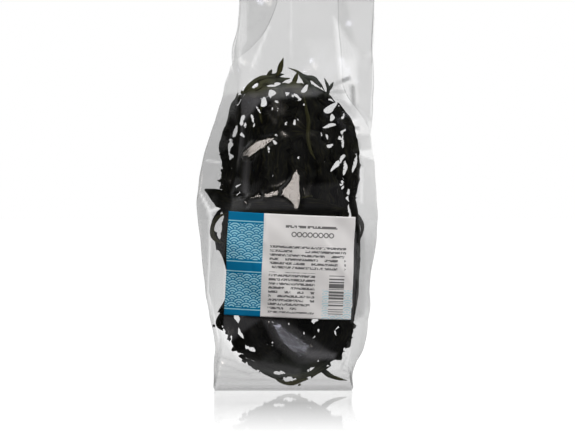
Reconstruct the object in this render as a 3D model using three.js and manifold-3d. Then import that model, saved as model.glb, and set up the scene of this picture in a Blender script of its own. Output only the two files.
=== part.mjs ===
// A clear film bag of dried wakame: a side-gusseted bag that stands on its block bottom, a bunch of
// long dried fronds folded up inside it, and a paper label on its front.
// Millimetres, +Z up. The front looks along -Y. The origin is on the base, on the surface the bag
// stands on, halfway between the bag's widest points.
import * as THREE from "three";
import { mergeVertices } from "three/addons/utils/BufferGeometryUtils.js";
import Module from "manifold-3d";

const wasm = await Module();
wasm.setup();

// Driving dimensions of the bag
const BAG_HEIGHT = 285;
const GUSSET_HALF = 25;
const FILM = 0.5;
const RING_STEP = 9.5;
const LEAST_DEPTH = 4.8;
const BACK_BULGE = 0.8;
const SEAM_STEP = 0.4;
const FRONT_SPOTS = [-1, -0.8, -0.6, -0.4, -0.2, 0, 0.2, 0.4, 0.6, 0.8, 1];
const BACK_SPOTS = [-1, -0.8, -0.6, -0.4, -0.2, -0.08, -0.07, 0.07, 0.08, 0.2, 0.4, 0.6, 0.8, 1];
const SEAM_HALF = 0.07;
const GUSSET_SPOTS = [1 / 3, 2 / 3];
const GUSSET_BOW = 1.2;
const LEAST_MITRE = 0.12;

// Where the bag's creases run, as [height, x]: the two edges of the front panel, and the middle
// crease of each gusset, which stands outwards round the fronds and folds inwards above them.
const LEFT_EDGE = [[0, -46.6], [25, -42], [90, -40], [120, -36], [160, -31.2], [190, -30.5],
  [210, -34.5], [232, -32.2], [250, -30.8], [285, -31.5]];
const RIGHT_EDGE = [[0, 41.4], [10, 40.4], [50, 43], [110, 45], [135, 44.5], [160, 47], [178, 52.5],
  [200, 55.2], [250, 56.6], [285, 58.5]];
const LEFT_CREASE = [[0, -46.6], [19, -47.5], [26, -45.2], [45, -49], [90, -55.4], [130, -58.5],
  [165, -49.5], [187, -40.8], [197, -36], [207, -29], [216, -22], [232, -14], [250, -6.8], [285, -7.3]];
const RIGHT_CREASE = [[0, 41.4], [10, 41], [25, 49.6], [45, 52.6], [70, 54.5], [105, 58.5], [130, 57.2],
  [150, 56], [163, 54.5], [176, 48], [190, 38.5], [207, 35], [250, 32.4], [285, 34.3]];
// How far the front panel stands out between its edges, as [height, bulge]
const BULGE = [[0, 0], [30, 4], [60, 7], [120, 9.5], [160, 10.5], [200, 7], [250, 4], [285, 0.5]];
const BULGE_POWER = 2.5;

// The label
const LABEL_WIDTH = 81;
const LABEL_HEIGHT = 66;
const LABEL_CENTRE = [1.5, 80];
const LABEL_TILT = -2.4;
const LABEL_THICK = 0.6;
const LABEL_GAP = 0.35;
const LABEL_COLUMNS = 10;
const LABEL_ROWS = 6;

// The bunch of fronds, a hank folded up in layers from the front to the back. A layer is a stack of
// rounded loops, one inside the other, a and b being half the outermost one's width and height. Each
// run is a frond: [loop, from, to] in turns of the loop, from its lowest middle to the right and up.
// A core is a wavy frond up the middle of the innermost loop, between two heights.
const BUNCH_HEIGHT = 103;
const LOOP_PITCH = 10.6;
const LEAST_TURN = 10;
const LOOP_ROUND = 0.78;
const LENS = 0.22;
const LENS_WIDTH = 45;
const LENS_HEIGHT = 100;
const CORE_WAVE = 3;
const CORE_WAVE_LENGTH = 62;
const LAYER_LETTERS = "abcde";
const SWAY_X = [[3.2, 24, 1], [1.4, 8.6, 2.3]];
const SWAY_Y = [1.1, 14, 21];
const SWAY_Z = [3, 13, 1.7];
const LAYERS = [
  { y: -14, x: 7, a: 17, b: 61, tilt: 0.07, core: [-57, 49], runs: [[0, 0.1, 0.87]] },
  { y: -6.4, x: 4, a: 28.5, b: 79, tilt: -0.03, core: [-62, 56], runs: [[0, 0.57, 1.44], [1, 0.12, 0.95]] },
  { y: 1.4, x: -0.5, a: 37, b: 88, tilt: 0.01, core: [-55, 55],
    runs: [[0, 0.02, 0.5], [0, 0.53, 0.96], [1, 0.66, 1.55], [2, 0.18, 1.06]] },
  { y: 9.4, x: 3, a: 26, b: 80, tilt: 0.04, core: [-57, 60], runs: [[0, 0.28, 1.2], [1, 0.72, 1.58]] },
  { y: 16.8, x: 7, a: 14.5, b: 60, tilt: -0.06, core: [-62, 48], runs: [[0, 0.08, 0.92]] },
];

// One dried frond: a strip with a midrib and a ragged, waved edge
const BLADE_WIDTH = 9.6;
const BLADE_STEP = 5.8;
const EDGE_THICK = 0.7;
const RIB_THICK = 1.5;
const TIP_LENGTH = 24;
const TIP_SHARE = 0.16;
const TIP_MOST = 0.45;
const LEAST_STEPS = 4;
const WIDTH_SPREAD = [0.9, 0.2];
const RAGGED = 0.42;
const WAVE_LENGTH = 21;
const WAVE_HEIGHT = 1;
const TWIST = 0.26;
const TWIST_LENGTH = 95;
const LOOK_AHEAD = 0.004;

// Courses placed by hand, as [x, y, z]: blades that grow from the outermost fronds, which are the tips
// and the stalk on top, the folded lobe on the left and the long tail at the bottom right, and the
// broad blade that lies across the front of the hank
const TOP_BLADE = [[-25, 2, 184.5], [-20, 1.6, 195], [-11, 1, 201], [-2, 0.6, 203]];
const TOP_TIP = [[-10, 1, 200], [-4.5, 0.4, 206], [-2.6, 0, 213.5]];
const TOP_RIGHT = [[16, 0.4, 190.5], [12, 0.6, 199], [6.5, 0.4, 205]];
const STALK = [[23, 0.3, 185], [26.5, 0.3, 192.5], [24, 0, 200.5]];
const STALK_BRANCH = [[26.4, 0.3, 191.5], [29.8, 0, 198]];
const LEFT_LOBE = [[-36.7, 1.3, 118], [-44, 0.4, 114], [-47.5, 0, 104], [-46, 0.6, 92], [-39.5, 2, 82]];
const TAIL = [[13, -4.7, 27.2], [22, -5, 24.5], [28.5, -5, 20.5], [32, -5.2, 12], [38, -5.4, 4.8]];
const BROAD_BLADE = [[-53.5, -0.6, 128.5], [-47, -2.6, 125], [-41, -4.4, 121.5], [-34.5, -8.2, 119.5],
  [-28, -12.2, 118.5], [-17.5, -16.8, 119], [-6, -19.8, 118.2], [8, -21, 118], [24, -20.6, 117.3],
  [39, -18.6, 115.5]];

const BROAD_LOOK = { width: 10, wave: 0.5, twist: 0.08 };
const BROAD_SEED = 70;
// The blades that each of these fronds bears
const GROWN_FROM = {
  frond_b1: [{ points: TAIL, seed: 67, look: { width: 7, wave: 0.5, twist: 0.1 } }],
  frond_c1: [
    { points: TOP_RIGHT, seed: 65, look: { width: 6, wave: 0.6 } },
    { points: STALK, seed: 61, look: { width: 2.6, wave: 0, twist: 0, step: 4 } },
    { points: STALK_BRANCH, seed: 62, look: { width: 2.2, wave: 0, twist: 0, step: 4 } },
  ],
  frond_c2: [
    { points: TOP_BLADE, seed: 63, look: { width: 8, wave: 0.8 } },
    { points: TOP_TIP, seed: 64, look: { width: 4.2, wave: 0.5, step: 4 } },
    { points: LEFT_LOBE, seed: 66, look: { width: 8, wave: 0.8 } },
  ],
};

const FRONT = new THREE.Vector3(0, -1, 0);

// Materials
const film = new THREE.MeshStandardMaterial({
  color: 0xd5d5d8, roughness: 0.08, metalness: 0, transparent: true, opacity: 0.25,
});
const paper = new THREE.MeshStandardMaterial({ color: 0xdedbd9, roughness: 0.55, metalness: 0 });
const seaweed = new THREE.MeshStandardMaterial({ color: 0x1a1b12, roughness: 0.42, metalness: 0 });

// A seeded draw between 0 and 1
function draw(seed) {
  const s = Math.sin(seed * 127.1 + 311.7) * 43758.5453;
  return s - Math.floor(s);
}

// A smooth curve through [place, value] keys
function along(keys, place) {
  let i = 0;
  while (i < keys.length - 2 && place > keys[i + 1][0]) i += 1;
  const slope = (k) => {
    const a = keys[Math.max(0, k - 1)];
    const b = keys[Math.min(keys.length - 1, k + 1)];
    return (b[1] - a[1]) / (b[0] - a[0]);
  };
  const [x0, y0] = keys[i];
  const [x1, y1] = keys[i + 1];
  const span = x1 - x0;
  const t = THREE.MathUtils.clamp((place - x0) / span, 0, 1);
  const t2 = t * t;
  const t3 = t2 * t;
  return (2 * t3 - 3 * t2 + 1) * y0 + (t3 - 2 * t2 + t) * span * slope(i)
    + (3 * t2 - 2 * t3) * y1 + (t3 - t2) * span * slope(i + 1);
}

// Half the depth of the bag at one edge: a gusset's half is as wide as its film, so the further its
// crease is from the edge, the nearer the edge is to the middle plane
function edgeDepth(edge, crease) {
  return Math.max(LEAST_DEPTH, Math.sqrt(Math.max(0, GUSSET_HALF ** 2 - (edge - crease) ** 2)));
}

// The creases of the bag at one height
function creases(z) {
  const left = along(LEFT_EDGE, z);
  const right = along(RIGHT_EDGE, z);
  const leftCrease = along(LEFT_CREASE, z);
  const rightCrease = along(RIGHT_CREASE, z);
  return {
    left, right, leftCrease, rightCrease,
    leftDepth: edgeDepth(left, leftCrease),
    rightDepth: edgeDepth(right, rightCrease),
    bulge: along(BULGE, z),
  };
}

// A point of the front panel's outside, u from -1 at its left edge to 1 at its right edge
function frontPoint(u, z) {
  const c = creases(z);
  const share = (u + 1) / 2;
  const x = THREE.MathUtils.lerp(c.left, c.right, share);
  const depth = THREE.MathUtils.lerp(c.leftDepth, c.rightDepth, share);
  return new THREE.Vector2(x, -depth - c.bulge * (1 - Math.abs(u) ** BULGE_POWER));
}

// The bag's outline at one height, seen from above, anticlockwise from the front panel's left edge
function bagOutline(z) {
  const c = creases(z);
  const points = FRONT_SPOTS.map((u) => frontPoint(u, z));
  const half = (fromX, fromY, toX, toY, bow) => GUSSET_SPOTS.map((t) => new THREE.Vector2(
    THREE.MathUtils.lerp(fromX, toX, t) + bow * Math.sin(Math.PI * t),
    THREE.MathUtils.lerp(fromY, toY, t)));
  const bowRight = c.rightCrease > c.right ? GUSSET_BOW : 0;
  const bowLeft = c.leftCrease < c.left ? -GUSSET_BOW : 0;
  points.push(...half(c.right, -c.rightDepth, c.rightCrease, 0, bowRight));
  points.push(new THREE.Vector2(c.rightCrease, 0));
  points.push(...half(c.rightCrease, 0, c.right, c.rightDepth, bowRight));
  for (const u of [...BACK_SPOTS].reverse()) {
    const front = frontPoint(u, z);
    const flat = THREE.MathUtils.lerp(c.leftDepth, c.rightDepth, (u + 1) / 2);
    const seam = Math.abs(u) <= SEAM_HALF ? SEAM_STEP : 0;
    points.push(new THREE.Vector2(front.x, flat + (-front.y - flat) * BACK_BULGE + seam));
  }
  points.push(...half(c.left, c.leftDepth, c.leftCrease, 0, bowLeft));
  points.push(new THREE.Vector2(c.leftCrease, 0));
  points.push(...half(c.leftCrease, 0, c.left, -c.leftDepth, bowLeft));
  return points;
}

// The same outline, one film thickness further in
function inset(outline, by) {
  const n = outline.length;
  return outline.map((p, i) => {
    const before = p.clone().sub(outline[(i + n - 1) % n]).normalize();
    const after = outline[(i + 1) % n].clone().sub(p).normalize();
    const a = new THREE.Vector2(-before.y, before.x);
    const b = new THREE.Vector2(-after.y, after.x);
    const middle = a.clone().add(b).normalize();
    return p.clone().addScaledVector(middle, by / Math.max(LEAST_MITRE, middle.dot(a)));
  });
}

// The film: an outer and an inner wall, a double floor and an open mouth
function bagGeometry() {
  const rings = Math.round(BAG_HEIGHT / RING_STEP);
  const outer = [];
  const inner = [];
  for (let i = 0; i <= rings; i += 1) {
    const z = (BAG_HEIGHT * i) / rings;
    const outline = bagOutline(z);
    outer.push(outline.map((p) => [p.x, p.y, z]));
    inner.push(inset(outline, FILM).map((p) => [p.x, p.y, i === 0 ? FILM : z]));
  }
  const n = outer[0].length;
  const positions = [...outer.flat(2), ...inner.flat(2)];
  const floor = positions.length / 3;
  const middle = (outer[0][0][0] + outer[0][FRONT_SPOTS.length - 1][0]) / 2;
  positions.push(middle, 0, 0, middle, 0, FILM);
  const index = [];
  const at = (wall, ring, k) => (wall * (rings + 1) + ring) * n + (k % n);
  for (let k = 0; k < n; k += 1) {
    for (let i = 0; i < rings; i += 1) {
      index.push(at(0, i, k), at(0, i, k + 1), at(0, i + 1, k + 1));
      index.push(at(0, i, k), at(0, i + 1, k + 1), at(0, i + 1, k));
      index.push(at(1, i, k), at(1, i + 1, k + 1), at(1, i, k + 1));
      index.push(at(1, i, k), at(1, i + 1, k), at(1, i + 1, k + 1));
    }
    index.push(at(0, rings, k), at(0, rings, k + 1), at(1, rings, k + 1));
    index.push(at(0, rings, k), at(1, rings, k + 1), at(1, rings, k));
    index.push(floor, at(0, 0, k + 1), at(0, 0, k));
    index.push(floor + 1, at(1, 0, k), at(1, 0, k + 1));
  }
  return solid(positions, index);
}

// A closed geometry from plain lists
function solid(positions, index) {
  const geometry = new THREE.BufferGeometry();
  geometry.setAttribute("position", new THREE.Float32BufferAttribute(positions, 3));
  geometry.setIndex(index);
  geometry.computeVertexNormals();
  return geometry;
}

// A point over the front panel at x, z, lifted off the film by a distance
function overFront(x, z, lift) {
  const c = creases(z);
  const u = THREE.MathUtils.clamp((2 * (x - c.left)) / (c.right - c.left) - 1, -1, 1);
  return [x, frontPoint(u, z).y - lift, z];
}

// The label: a thin sheet that follows the front panel
function labelGeometry() {
  const tilt = THREE.MathUtils.degToRad(LABEL_TILT);
  const positions = [];
  for (const lift of [LABEL_GAP + LABEL_THICK, LABEL_GAP]) {
    for (let j = 0; j <= LABEL_ROWS; j += 1) {
      for (let i = 0; i <= LABEL_COLUMNS; i += 1) {
        const s = LABEL_WIDTH * (i / LABEL_COLUMNS - 0.5);
        const t = LABEL_HEIGHT * (j / LABEL_ROWS - 0.5);
        const x = LABEL_CENTRE[0] + s * Math.cos(tilt) - t * Math.sin(tilt);
        const z = LABEL_CENTRE[1] + s * Math.sin(tilt) + t * Math.cos(tilt);
        positions.push(...overFront(x, z, lift));
      }
    }
  }
  const columns = LABEL_COLUMNS + 1;
  const size = columns * (LABEL_ROWS + 1);
  const index = [];
  const quad = (a, b, c, d) => index.push(a, b, c, a, c, d);
  for (let j = 0; j < LABEL_ROWS; j += 1) {
    for (let i = 0; i < LABEL_COLUMNS; i += 1) {
      const a = j * columns + i;
      index.push(a, a + 1, a + columns + 1, a, a + columns + 1, a + columns);
      const b = a + size;
      index.push(b, b + columns + 1, b + 1, b, b + columns, b + columns + 1);
    }
    const left = j * columns;
    const right = left + LABEL_COLUMNS;
    quad(left, left + columns, left + columns + size, left + size);
    quad(right, right + size, right + columns + size, right + columns);
  }
  for (let i = 0; i < LABEL_COLUMNS; i += 1) {
    const top = LABEL_ROWS * columns + i;
    quad(i, i + size, i + 1 + size, i + 1);
    quad(top, top + 1, top + 1 + size, top + size);
  }
  return solid(positions, index);
}

// Bends a regular layer of the hank into an uneven one, without letting neighbours meet
function sway(p, phase) {
  const [far, long, longUp] = SWAY_Y;
  const [up, wide, turns] = SWAY_Z;
  return new THREE.Vector3(
    SWAY_X.reduce((x, [most, span, k]) => x + most * Math.sin(p.z / span + k * phase), p.x),
    p.y + far * Math.sin(p.x / long + p.z / longUp),
    p.z + up * Math.sin(p.x / wide + turns * phase));
}

// A loop with straight sides and round corners: its length, and its place at any number of turns
function roundedLoop(a, b, r) {
  const runs = [a - r, (Math.PI * r) / 2, 2 * (b - r), (Math.PI * r) / 2, 2 * (a - r),
    (Math.PI * r) / 2, 2 * (b - r), (Math.PI * r) / 2, a - r];
  const starts = [[0, -b], [a - r, -b], [a, r - b], [a, b - r], [a - r, b], [r - a, b], [-a, b - r],
    [-a, r - b], [r - a, -b]];
  const length = runs.reduce((sum, run) => sum + run, 0);
  const at = (turns) => {
    let left = (turns - Math.floor(turns)) * length;
    let i = 0;
    while (i < runs.length - 1 && left > runs[i]) {
      left -= runs[i];
      i += 1;
    }
    const heading = (Math.floor(i / 2) * Math.PI) / 2;
    const [x, z] = starts[i];
    if (i % 2 === 0) return [x + Math.cos(heading) * left, z + Math.sin(heading) * left];
    const turn = left / r;
    const [cx, cz] = [x - r * Math.sin(heading), z + r * Math.cos(heading)];
    return [cx + r * Math.sin(heading + turn), cz - r * Math.cos(heading + turn)];
  };
  return { length, at };
}

// A place in a layer, from its place in the flat, regular layer
function inLayer(layer, x, z) {
  const lens = 1 - LENS * ((x / LENS_WIDTH) ** 2 + (z / LENS_HEIGHT) ** 2);
  const turnedX = x * Math.cos(layer.tilt) + z * Math.sin(layer.tilt);
  const turnedZ = z * Math.cos(layer.tilt) - x * Math.sin(layer.tilt);
  return sway(new THREE.Vector3(layer.x + turnedX, layer.y * lens, BUNCH_HEIGHT + turnedZ), layer.y);
}

// The course of one frond of a layer: a stretch of one of its loops
function loopCourse(layer, [ring, from, to]) {
  const a = layer.a - ring * LOOP_PITCH;
  const b = layer.b - ring * LOOP_PITCH;
  const r = Math.min(a, Math.max(LEAST_TURN, layer.a * LOOP_ROUND - ring * LOOP_PITCH));
  const loop = roundedLoop(a, b, r);
  return {
    length: loop.length * (to - from),
    at: (t) => inLayer(layer, ...loop.at(THREE.MathUtils.lerp(from, to, t))),
  };
}

// The course of the frond up the middle of a layer
function coreCourse(layer) {
  const [from, to] = layer.core;
  return {
    length: to - from,
    at: (t) => {
      const z = THREE.MathUtils.lerp(from, to, t);
      return inLayer(layer, CORE_WAVE * Math.sin((2 * Math.PI * z) / CORE_WAVE_LENGTH), z);
    },
  };
}

// The course of a frond placed by hand, through a few points
function pointCourse(points) {
  const curve = new THREE.CatmullRomCurve3(
    points.map((p) => new THREE.Vector3(...p)), false, "catmullrom", 0.5);
  return { length: curve.getLength(), at: (t) => curve.getPoint(t) };
}

// One blade along a course: three points across, on two faces, split alike
function bladeGeometry(course, seed, look = {}) {
  const [least, spread] = WIDTH_SPREAD;
  const width = look.width ?? BLADE_WIDTH * (least + spread * draw(seed));
  const wave = look.wave ?? WAVE_HEIGHT;
  const twist = look.twist ?? TWIST;
  const step = look.step ?? BLADE_STEP;
  const tip = Math.min(TIP_LENGTH, course.length * TIP_MOST);
  const count = Math.max(LEAST_STEPS, Math.round(course.length / step));
  const [twistPhase, leftPhase, rightPhase] = [1, 2, 3].map((k) => draw(seed * 7.3 + k) * Math.PI * 2);
  const positions = [];
  for (let i = 0; i <= count; i += 1) {
    const t = i / count;
    const s = t * course.length;
    const here = course.at(t);
    const ahead = course.at(Math.min(1, t + LOOK_AHEAD));
    const behind = course.at(Math.max(0, t - LOOK_AHEAD));
    const heading = ahead.sub(behind).normalize();
    const flat = new THREE.Vector3().crossVectors(heading, FRONT).normalize();
    const angle = twist * Math.sin((2 * Math.PI * s) / TWIST_LENGTH + twistPhase);
    const across = flat.applyAxisAngle(heading, angle);
    const out = new THREE.Vector3().crossVectors(across, heading);
    const nearEnd = Math.min(s, course.length - s);
    const taper = TIP_SHARE + (1 - TIP_SHARE) * Math.sin(Math.min(1, nearEnd / tip) * Math.PI / 2);
    const edge = (side, phase) => {
      const ragged = 1 - RAGGED * draw(seed * 31.7 + i * 2.9 + side);
      const lift = wave * taper * Math.sin((2 * Math.PI * s) / WAVE_LENGTH + phase);
      return here.clone().addScaledVector(across, (side * width * taper * ragged) / 2)
        .addScaledVector(out, lift);
    };
    const left = edge(-1, leftPhase);
    const right = edge(1, rightPhase);
    const rib = EDGE_THICK + (RIB_THICK - EDGE_THICK) * taper;
    const put = (p, lift) => positions.push(...p.clone().addScaledVector(out, lift).toArray());
    put(left, EDGE_THICK / 2);
    put(here, rib / 2);
    put(right, EDGE_THICK / 2);
    put(right, -EDGE_THICK / 2);
    put(here, -rib / 2);
    put(left, -EDGE_THICK / 2);
  }
  const index = [];
  for (let i = 0; i < count; i += 1) {
    for (let k = 0; k < 6; k += 1) {
      const a = i * 6 + k;
      const b = i * 6 + ((k + 1) % 6);
      if (k < 3) index.push(a, b, b + 6, a, b + 6, a + 6);
      else index.push(a, b, a + 6, b, b + 6, a + 6);
    }
  }
  const end = count * 6;
  index.push(0, 5, 4, 0, 4, 1, 1, 4, 3, 1, 3, 2);
  index.push(end, end + 4, end + 5, end, end + 1, end + 4);
  index.push(end + 1, end + 3, end + 4, end + 1, end + 2, end + 3);
  return solid(positions, index);
}

// A geometry as a solid that can be joined
function manifoldOf(geometry) {
  const bare = new THREE.BufferGeometry();
  bare.setAttribute("position", geometry.getAttribute("position"));
  bare.setIndex(geometry.index);
  const merged = mergeVertices(bare, 1e-4);
  return new wasm.Manifold(new wasm.Mesh({
    numProp: 3,
    vertProperties: merged.getAttribute("position").array,
    triVerts: new Uint32Array(merged.index.array),
  }));
}

// Several blades that grow from one another, joined into one
function fused(geometries) {
  const joined = geometries.map(manifoldOf).reduce((all, one) => all.add(one));
  const mesh = joined.getMesh();
  return solid(Array.from(mesh.vertProperties), Array.from(mesh.triVerts));
}

// The hank: every frond of every layer, layers a to e from the front to the back
function hank(group) {
  LAYERS.forEach((layer, depth) => {
    const courses = layer.runs.map((run) => loopCourse(layer, run));
    if (layer.core) courses.push(coreCourse(layer));
    courses.forEach((course, k) => {
      const name = `frond_${LAYER_LETTERS[depth]}${k + 1}`;
      const main = bladeGeometry(course, 10 * depth + k);
      const branches = (GROWN_FROM[name] ?? []).map(
        (one) => bladeGeometry(pointCourse(one.points), one.seed, one.look));
      addFrond(group, name, branches.length > 0 ? fused([main, ...branches]) : main);
    });
  });
}

// One named frond
function addFrond(group, name, geometry) {
  const mesh = new THREE.Mesh(geometry, seaweed);
  mesh.name = name;
  group.add(mesh);
}

const bagOfWakame = new THREE.Group();

const bag = new THREE.Mesh(bagGeometry(), film);
bag.name = "bag_film";
bagOfWakame.add(bag);

const label = new THREE.Mesh(labelGeometry(), paper);
label.name = "label";
bagOfWakame.add(label);

hank(bagOfWakame);
const broad = bladeGeometry(pointCourse(BROAD_BLADE), BROAD_SEED, BROAD_LOOK);
addFrond(bagOfWakame, "frond_broad", broad);

export default bagOfWakame;
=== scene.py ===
# %% [markdown]
# # A clear bag of dried wakame
#
# The object is a side-gusseted bag of clear film that stands on its block bottom. A hank of long dried
# fronds is folded up inside it, and a paper label is stuck on its front. This file dresses the packed
# solids of that bag: the solids say where everything is, and each piece below is a finer one that
# keeps the form of the solid it stands for. Film and dried leaves are both thin, bent sheets, so every
# piece starts as a flat grid and is then bent by a formula.

# %% The frame and the tools
import math

import bmesh
import bpy
import numpy as np
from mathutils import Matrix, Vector


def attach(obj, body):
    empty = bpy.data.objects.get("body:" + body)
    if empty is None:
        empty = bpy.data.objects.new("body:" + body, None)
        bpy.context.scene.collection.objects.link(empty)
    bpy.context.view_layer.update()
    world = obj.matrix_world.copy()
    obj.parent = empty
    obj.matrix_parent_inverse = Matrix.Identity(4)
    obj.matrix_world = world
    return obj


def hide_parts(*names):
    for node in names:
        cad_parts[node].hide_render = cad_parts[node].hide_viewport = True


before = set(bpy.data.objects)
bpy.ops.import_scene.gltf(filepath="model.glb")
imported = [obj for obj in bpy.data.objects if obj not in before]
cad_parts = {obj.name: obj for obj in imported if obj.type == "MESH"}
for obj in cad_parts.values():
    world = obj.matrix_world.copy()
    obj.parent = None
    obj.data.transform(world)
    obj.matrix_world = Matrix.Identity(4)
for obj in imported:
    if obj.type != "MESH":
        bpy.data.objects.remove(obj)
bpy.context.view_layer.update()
scene = bpy.context.scene
MM = 0.001
TURN = 2 * math.pi
print("solids:", sorted(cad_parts))

# %% [markdown]
# ## The camera
#
# The picture was taken from straight in front with a long lens, a little above the table, and the top
# of the bag is cut off by the picture's edge. One pixel is 0.64 mm at the bag, which gives the width of
# the view. A long lens far away keeps the bag's sides parallel, as they are in the photograph. The aim
# is the point of the bag's front plane that falls on the middle of the picture.

# %% The camera
PHOTO_WIDTH, PHOTO_HEIGHT = 575, 431
MM_PER_PIXEL = 0.64
MIDDLE_COLUMN, FLOOR_ROW = 287.35, 391
FRONT_PLANE = -24.0
CAMERA_DISTANCE = 1.9
CAMERA_RISE = math.radians(2.0)
SENSOR = 36.0
VIEW_END = 50.0


def photo_place(column, row):
    """The place across and up, in millimetres, of a pixel of the photograph, in the bag's front plane."""
    return (column - MIDDLE_COLUMN) * MM_PER_PIXEL, (FLOOR_ROW - row) * MM_PER_PIXEL


def make_camera():
    """The camera in front of the bag, aimed at the middle of the picture."""
    camera = bpy.data.objects.new("camera", bpy.data.cameras.new("camera"))
    camera.data.sensor_width = SENSOR
    view_width = PHOTO_WIDTH * MM_PER_PIXEL * MM
    camera.data.lens = SENSOR * CAMERA_DISTANCE / view_width
    across, up = photo_place(PHOTO_WIDTH / 2, PHOTO_HEIGHT / 2)
    aim = Vector((across, FRONT_PLANE, up)) * MM
    back = Vector((0, -math.cos(CAMERA_RISE), math.sin(CAMERA_RISE)))
    camera.location = aim + back * CAMERA_DISTANCE
    camera.rotation_euler = (math.radians(90) - CAMERA_RISE, 0, 0)
    camera.data.clip_end = VIEW_END
    scene.collection.objects.link(camera)
    scene.camera = camera
    return camera


camera = make_camera()
print("lens in mm:", round(camera.data.lens, 1))

# %% [markdown]
# ## The studio
#
# Clear film shows nothing of its own: it shows what is behind it, a little greyer, and what it
# reflects. So the studio matters as much as the film. The background is plain white for the camera,
# the room that the film reflects is dim in front and bright behind, and a few soft boxes make the
# large pale highlights. A photograph of a room could do the same, but a ramp of a few numbers is easier
# to set against the picture.

# %% The room
# How bright the room is, by how far to the back a ray goes: -1 is to the camera, 1 is away from it
ROOM_LIGHT = [(-1.0, 0.012), (-0.72, 0.02), (-0.4, 0.35), (-0.1, 0.8), (0.9, 0.85), (0.98, 1.4)]
LEFT_SHARE, RIGHT_SHARE = 0.7, 1.2
# How many clear faces a ray may pass, and how often it may bounce
FACES_PASSED, BOUNCES = 40, 16


def link_nodes(tree, *pairs):
    """Links outputs to inputs, two by two."""
    for output, wanted in pairs:
        tree.links.new(output, wanted)


def math_node(tree, operation, *values):
    """A Math node whose inputs are numbers or other nodes' outputs. Returns its output."""
    node = tree.nodes.new("ShaderNodeMath")
    node.operation = operation
    for socket, value in zip(node.inputs, values):
        if isinstance(value, (int, float)):
            socket.default_value = value
        else:
            tree.links.new(value, socket)
    return node.outputs[0]


def map_range(tree, value, low, high, to_low=0.0, to_high=1.0):
    """A Map Range node between four numbers. Returns its output."""
    node = tree.nodes.new("ShaderNodeMapRange")
    for socket, number in (("From Min", low), ("From Max", high), ("To Min", to_low), ("To Max", to_high)):
        node.inputs[socket].default_value = number
    tree.links.new(value, node.inputs["Value"])
    return node.outputs["Result"]


def coordinates(tree, kind):
    """The three numbers of a texture coordinate, such as Object or UV."""
    place = tree.nodes.new("ShaderNodeTexCoord")
    parts = tree.nodes.new("ShaderNodeSeparateXYZ")
    tree.links.new(place.outputs[kind], parts.inputs[0])
    return parts.outputs["X"], parts.outputs["Y"], parts.outputs["Z"]


def mix_shaders(tree, share, first, second):
    """Two shaders mixed by a share. Returns the mix's output."""
    mix = tree.nodes.new("ShaderNodeMixShader")
    link_nodes(tree, (share, mix.inputs[0]), (first, mix.inputs[1]), (second, mix.inputs[2]))
    return mix.outputs[0]


def seen_two_ways(tree, shown, reflected):
    """One shader for what the camera sees straight on, and another for all that is mirrored or lit."""
    rays = tree.nodes.new("ShaderNodeLightPath")
    return mix_shaders(tree, rays.outputs["Is Camera Ray"], reflected, shown)


def make_room():
    """A white background for the camera, and a room that grows brighter to the back for reflections."""
    world = bpy.data.worlds.new("studio")
    scene.world = world
    world.use_nodes = True
    tree = world.node_tree
    shown = tree.nodes["Background"]
    shown.inputs["Color"].default_value = (1, 1, 1, 1)
    shown.inputs["Strength"].default_value = 1.0
    sideways, to_back, _ = coordinates(tree, "Generated")
    ramp = tree.nodes.new("ShaderNodeValToRGB")
    stops = ramp.color_ramp.elements
    while len(stops) < len(ROOM_LIGHT):
        stops.new(0.5)
    for stop, (way, light) in zip(stops, ROOM_LIGHT):
        stop.position = (way + 1) / 2
        stop.color = (light, light, light, 1)
    reflected = tree.nodes.new("ShaderNodeBackground")
    link_nodes(
        tree,
        (map_range(tree, to_back, -1, 1), ramp.inputs["Fac"]),
        (ramp.outputs["Color"], reflected.inputs["Color"]),
        (map_range(tree, sideways, -1, 1, LEFT_SHARE, RIGHT_SHARE), reflected.inputs["Strength"]),
        (seen_two_ways(tree, shown.outputs[0], reflected.outputs[0]),
         tree.nodes["World Output"].inputs["Surface"]),
    )


make_room()
scene.view_settings.view_transform = "Standard"
scene.cycles.transparent_max_bounces = FACES_PASSED
scene.cycles.max_bounces = BOUNCES
scene.cycles.use_denoising = True
print("nodes of the room:", len(scene.world.node_tree.nodes))

# %% [markdown]
# ## The soft boxes
#
# The highlights on film are mirror images of the soft boxes. Where a box has to stand follows from the
# film that mirrors it: film that leans by some slope to the left and by some slope up sends the
# camera's line of sight off in one direction, and the box is placed along it. Two boxes make the
# highlights. The fill light high above the front only lights the label and the fronds: it is kept
# out of mirror images, as a lamp behind a screen would be.

# %% The soft boxes
LEFT_BOX, RIGHT_BOX = (0.2, 0.04), (-0.25, 0.22)
SOFT_BOXES = {
    # name: slopes of the film that mirrors it (left, up), distance and size in metres, brightness, colour
    "soft_box_left": (LEFT_BOX, 1.1, (0.2, 0.22), 9.5, (1.0, 0.92, 0.86)),
    "soft_box_right": (RIGHT_BOX, 1.1, (0.22, 0.2), 7.5, (0.86, 0.86, 1.0)),
    "fill": ((-0.2, 0.6), 1.2, (1.1, 0.6), 7.3, (1.0, 1.0, 1.0)),
}
MIRROR_PLACE = Vector((0, -0.03, 0.12))


def mirrored_way(left, up):
    """The direction that film with these slopes sends the camera's line of sight to."""
    to_camera = Vector((0, -math.cos(CAMERA_RISE), math.sin(CAMERA_RISE)))
    normal = Vector((-left, -1, up)).normalized()
    return 2 * normal.dot(to_camera) * normal - to_camera


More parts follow.
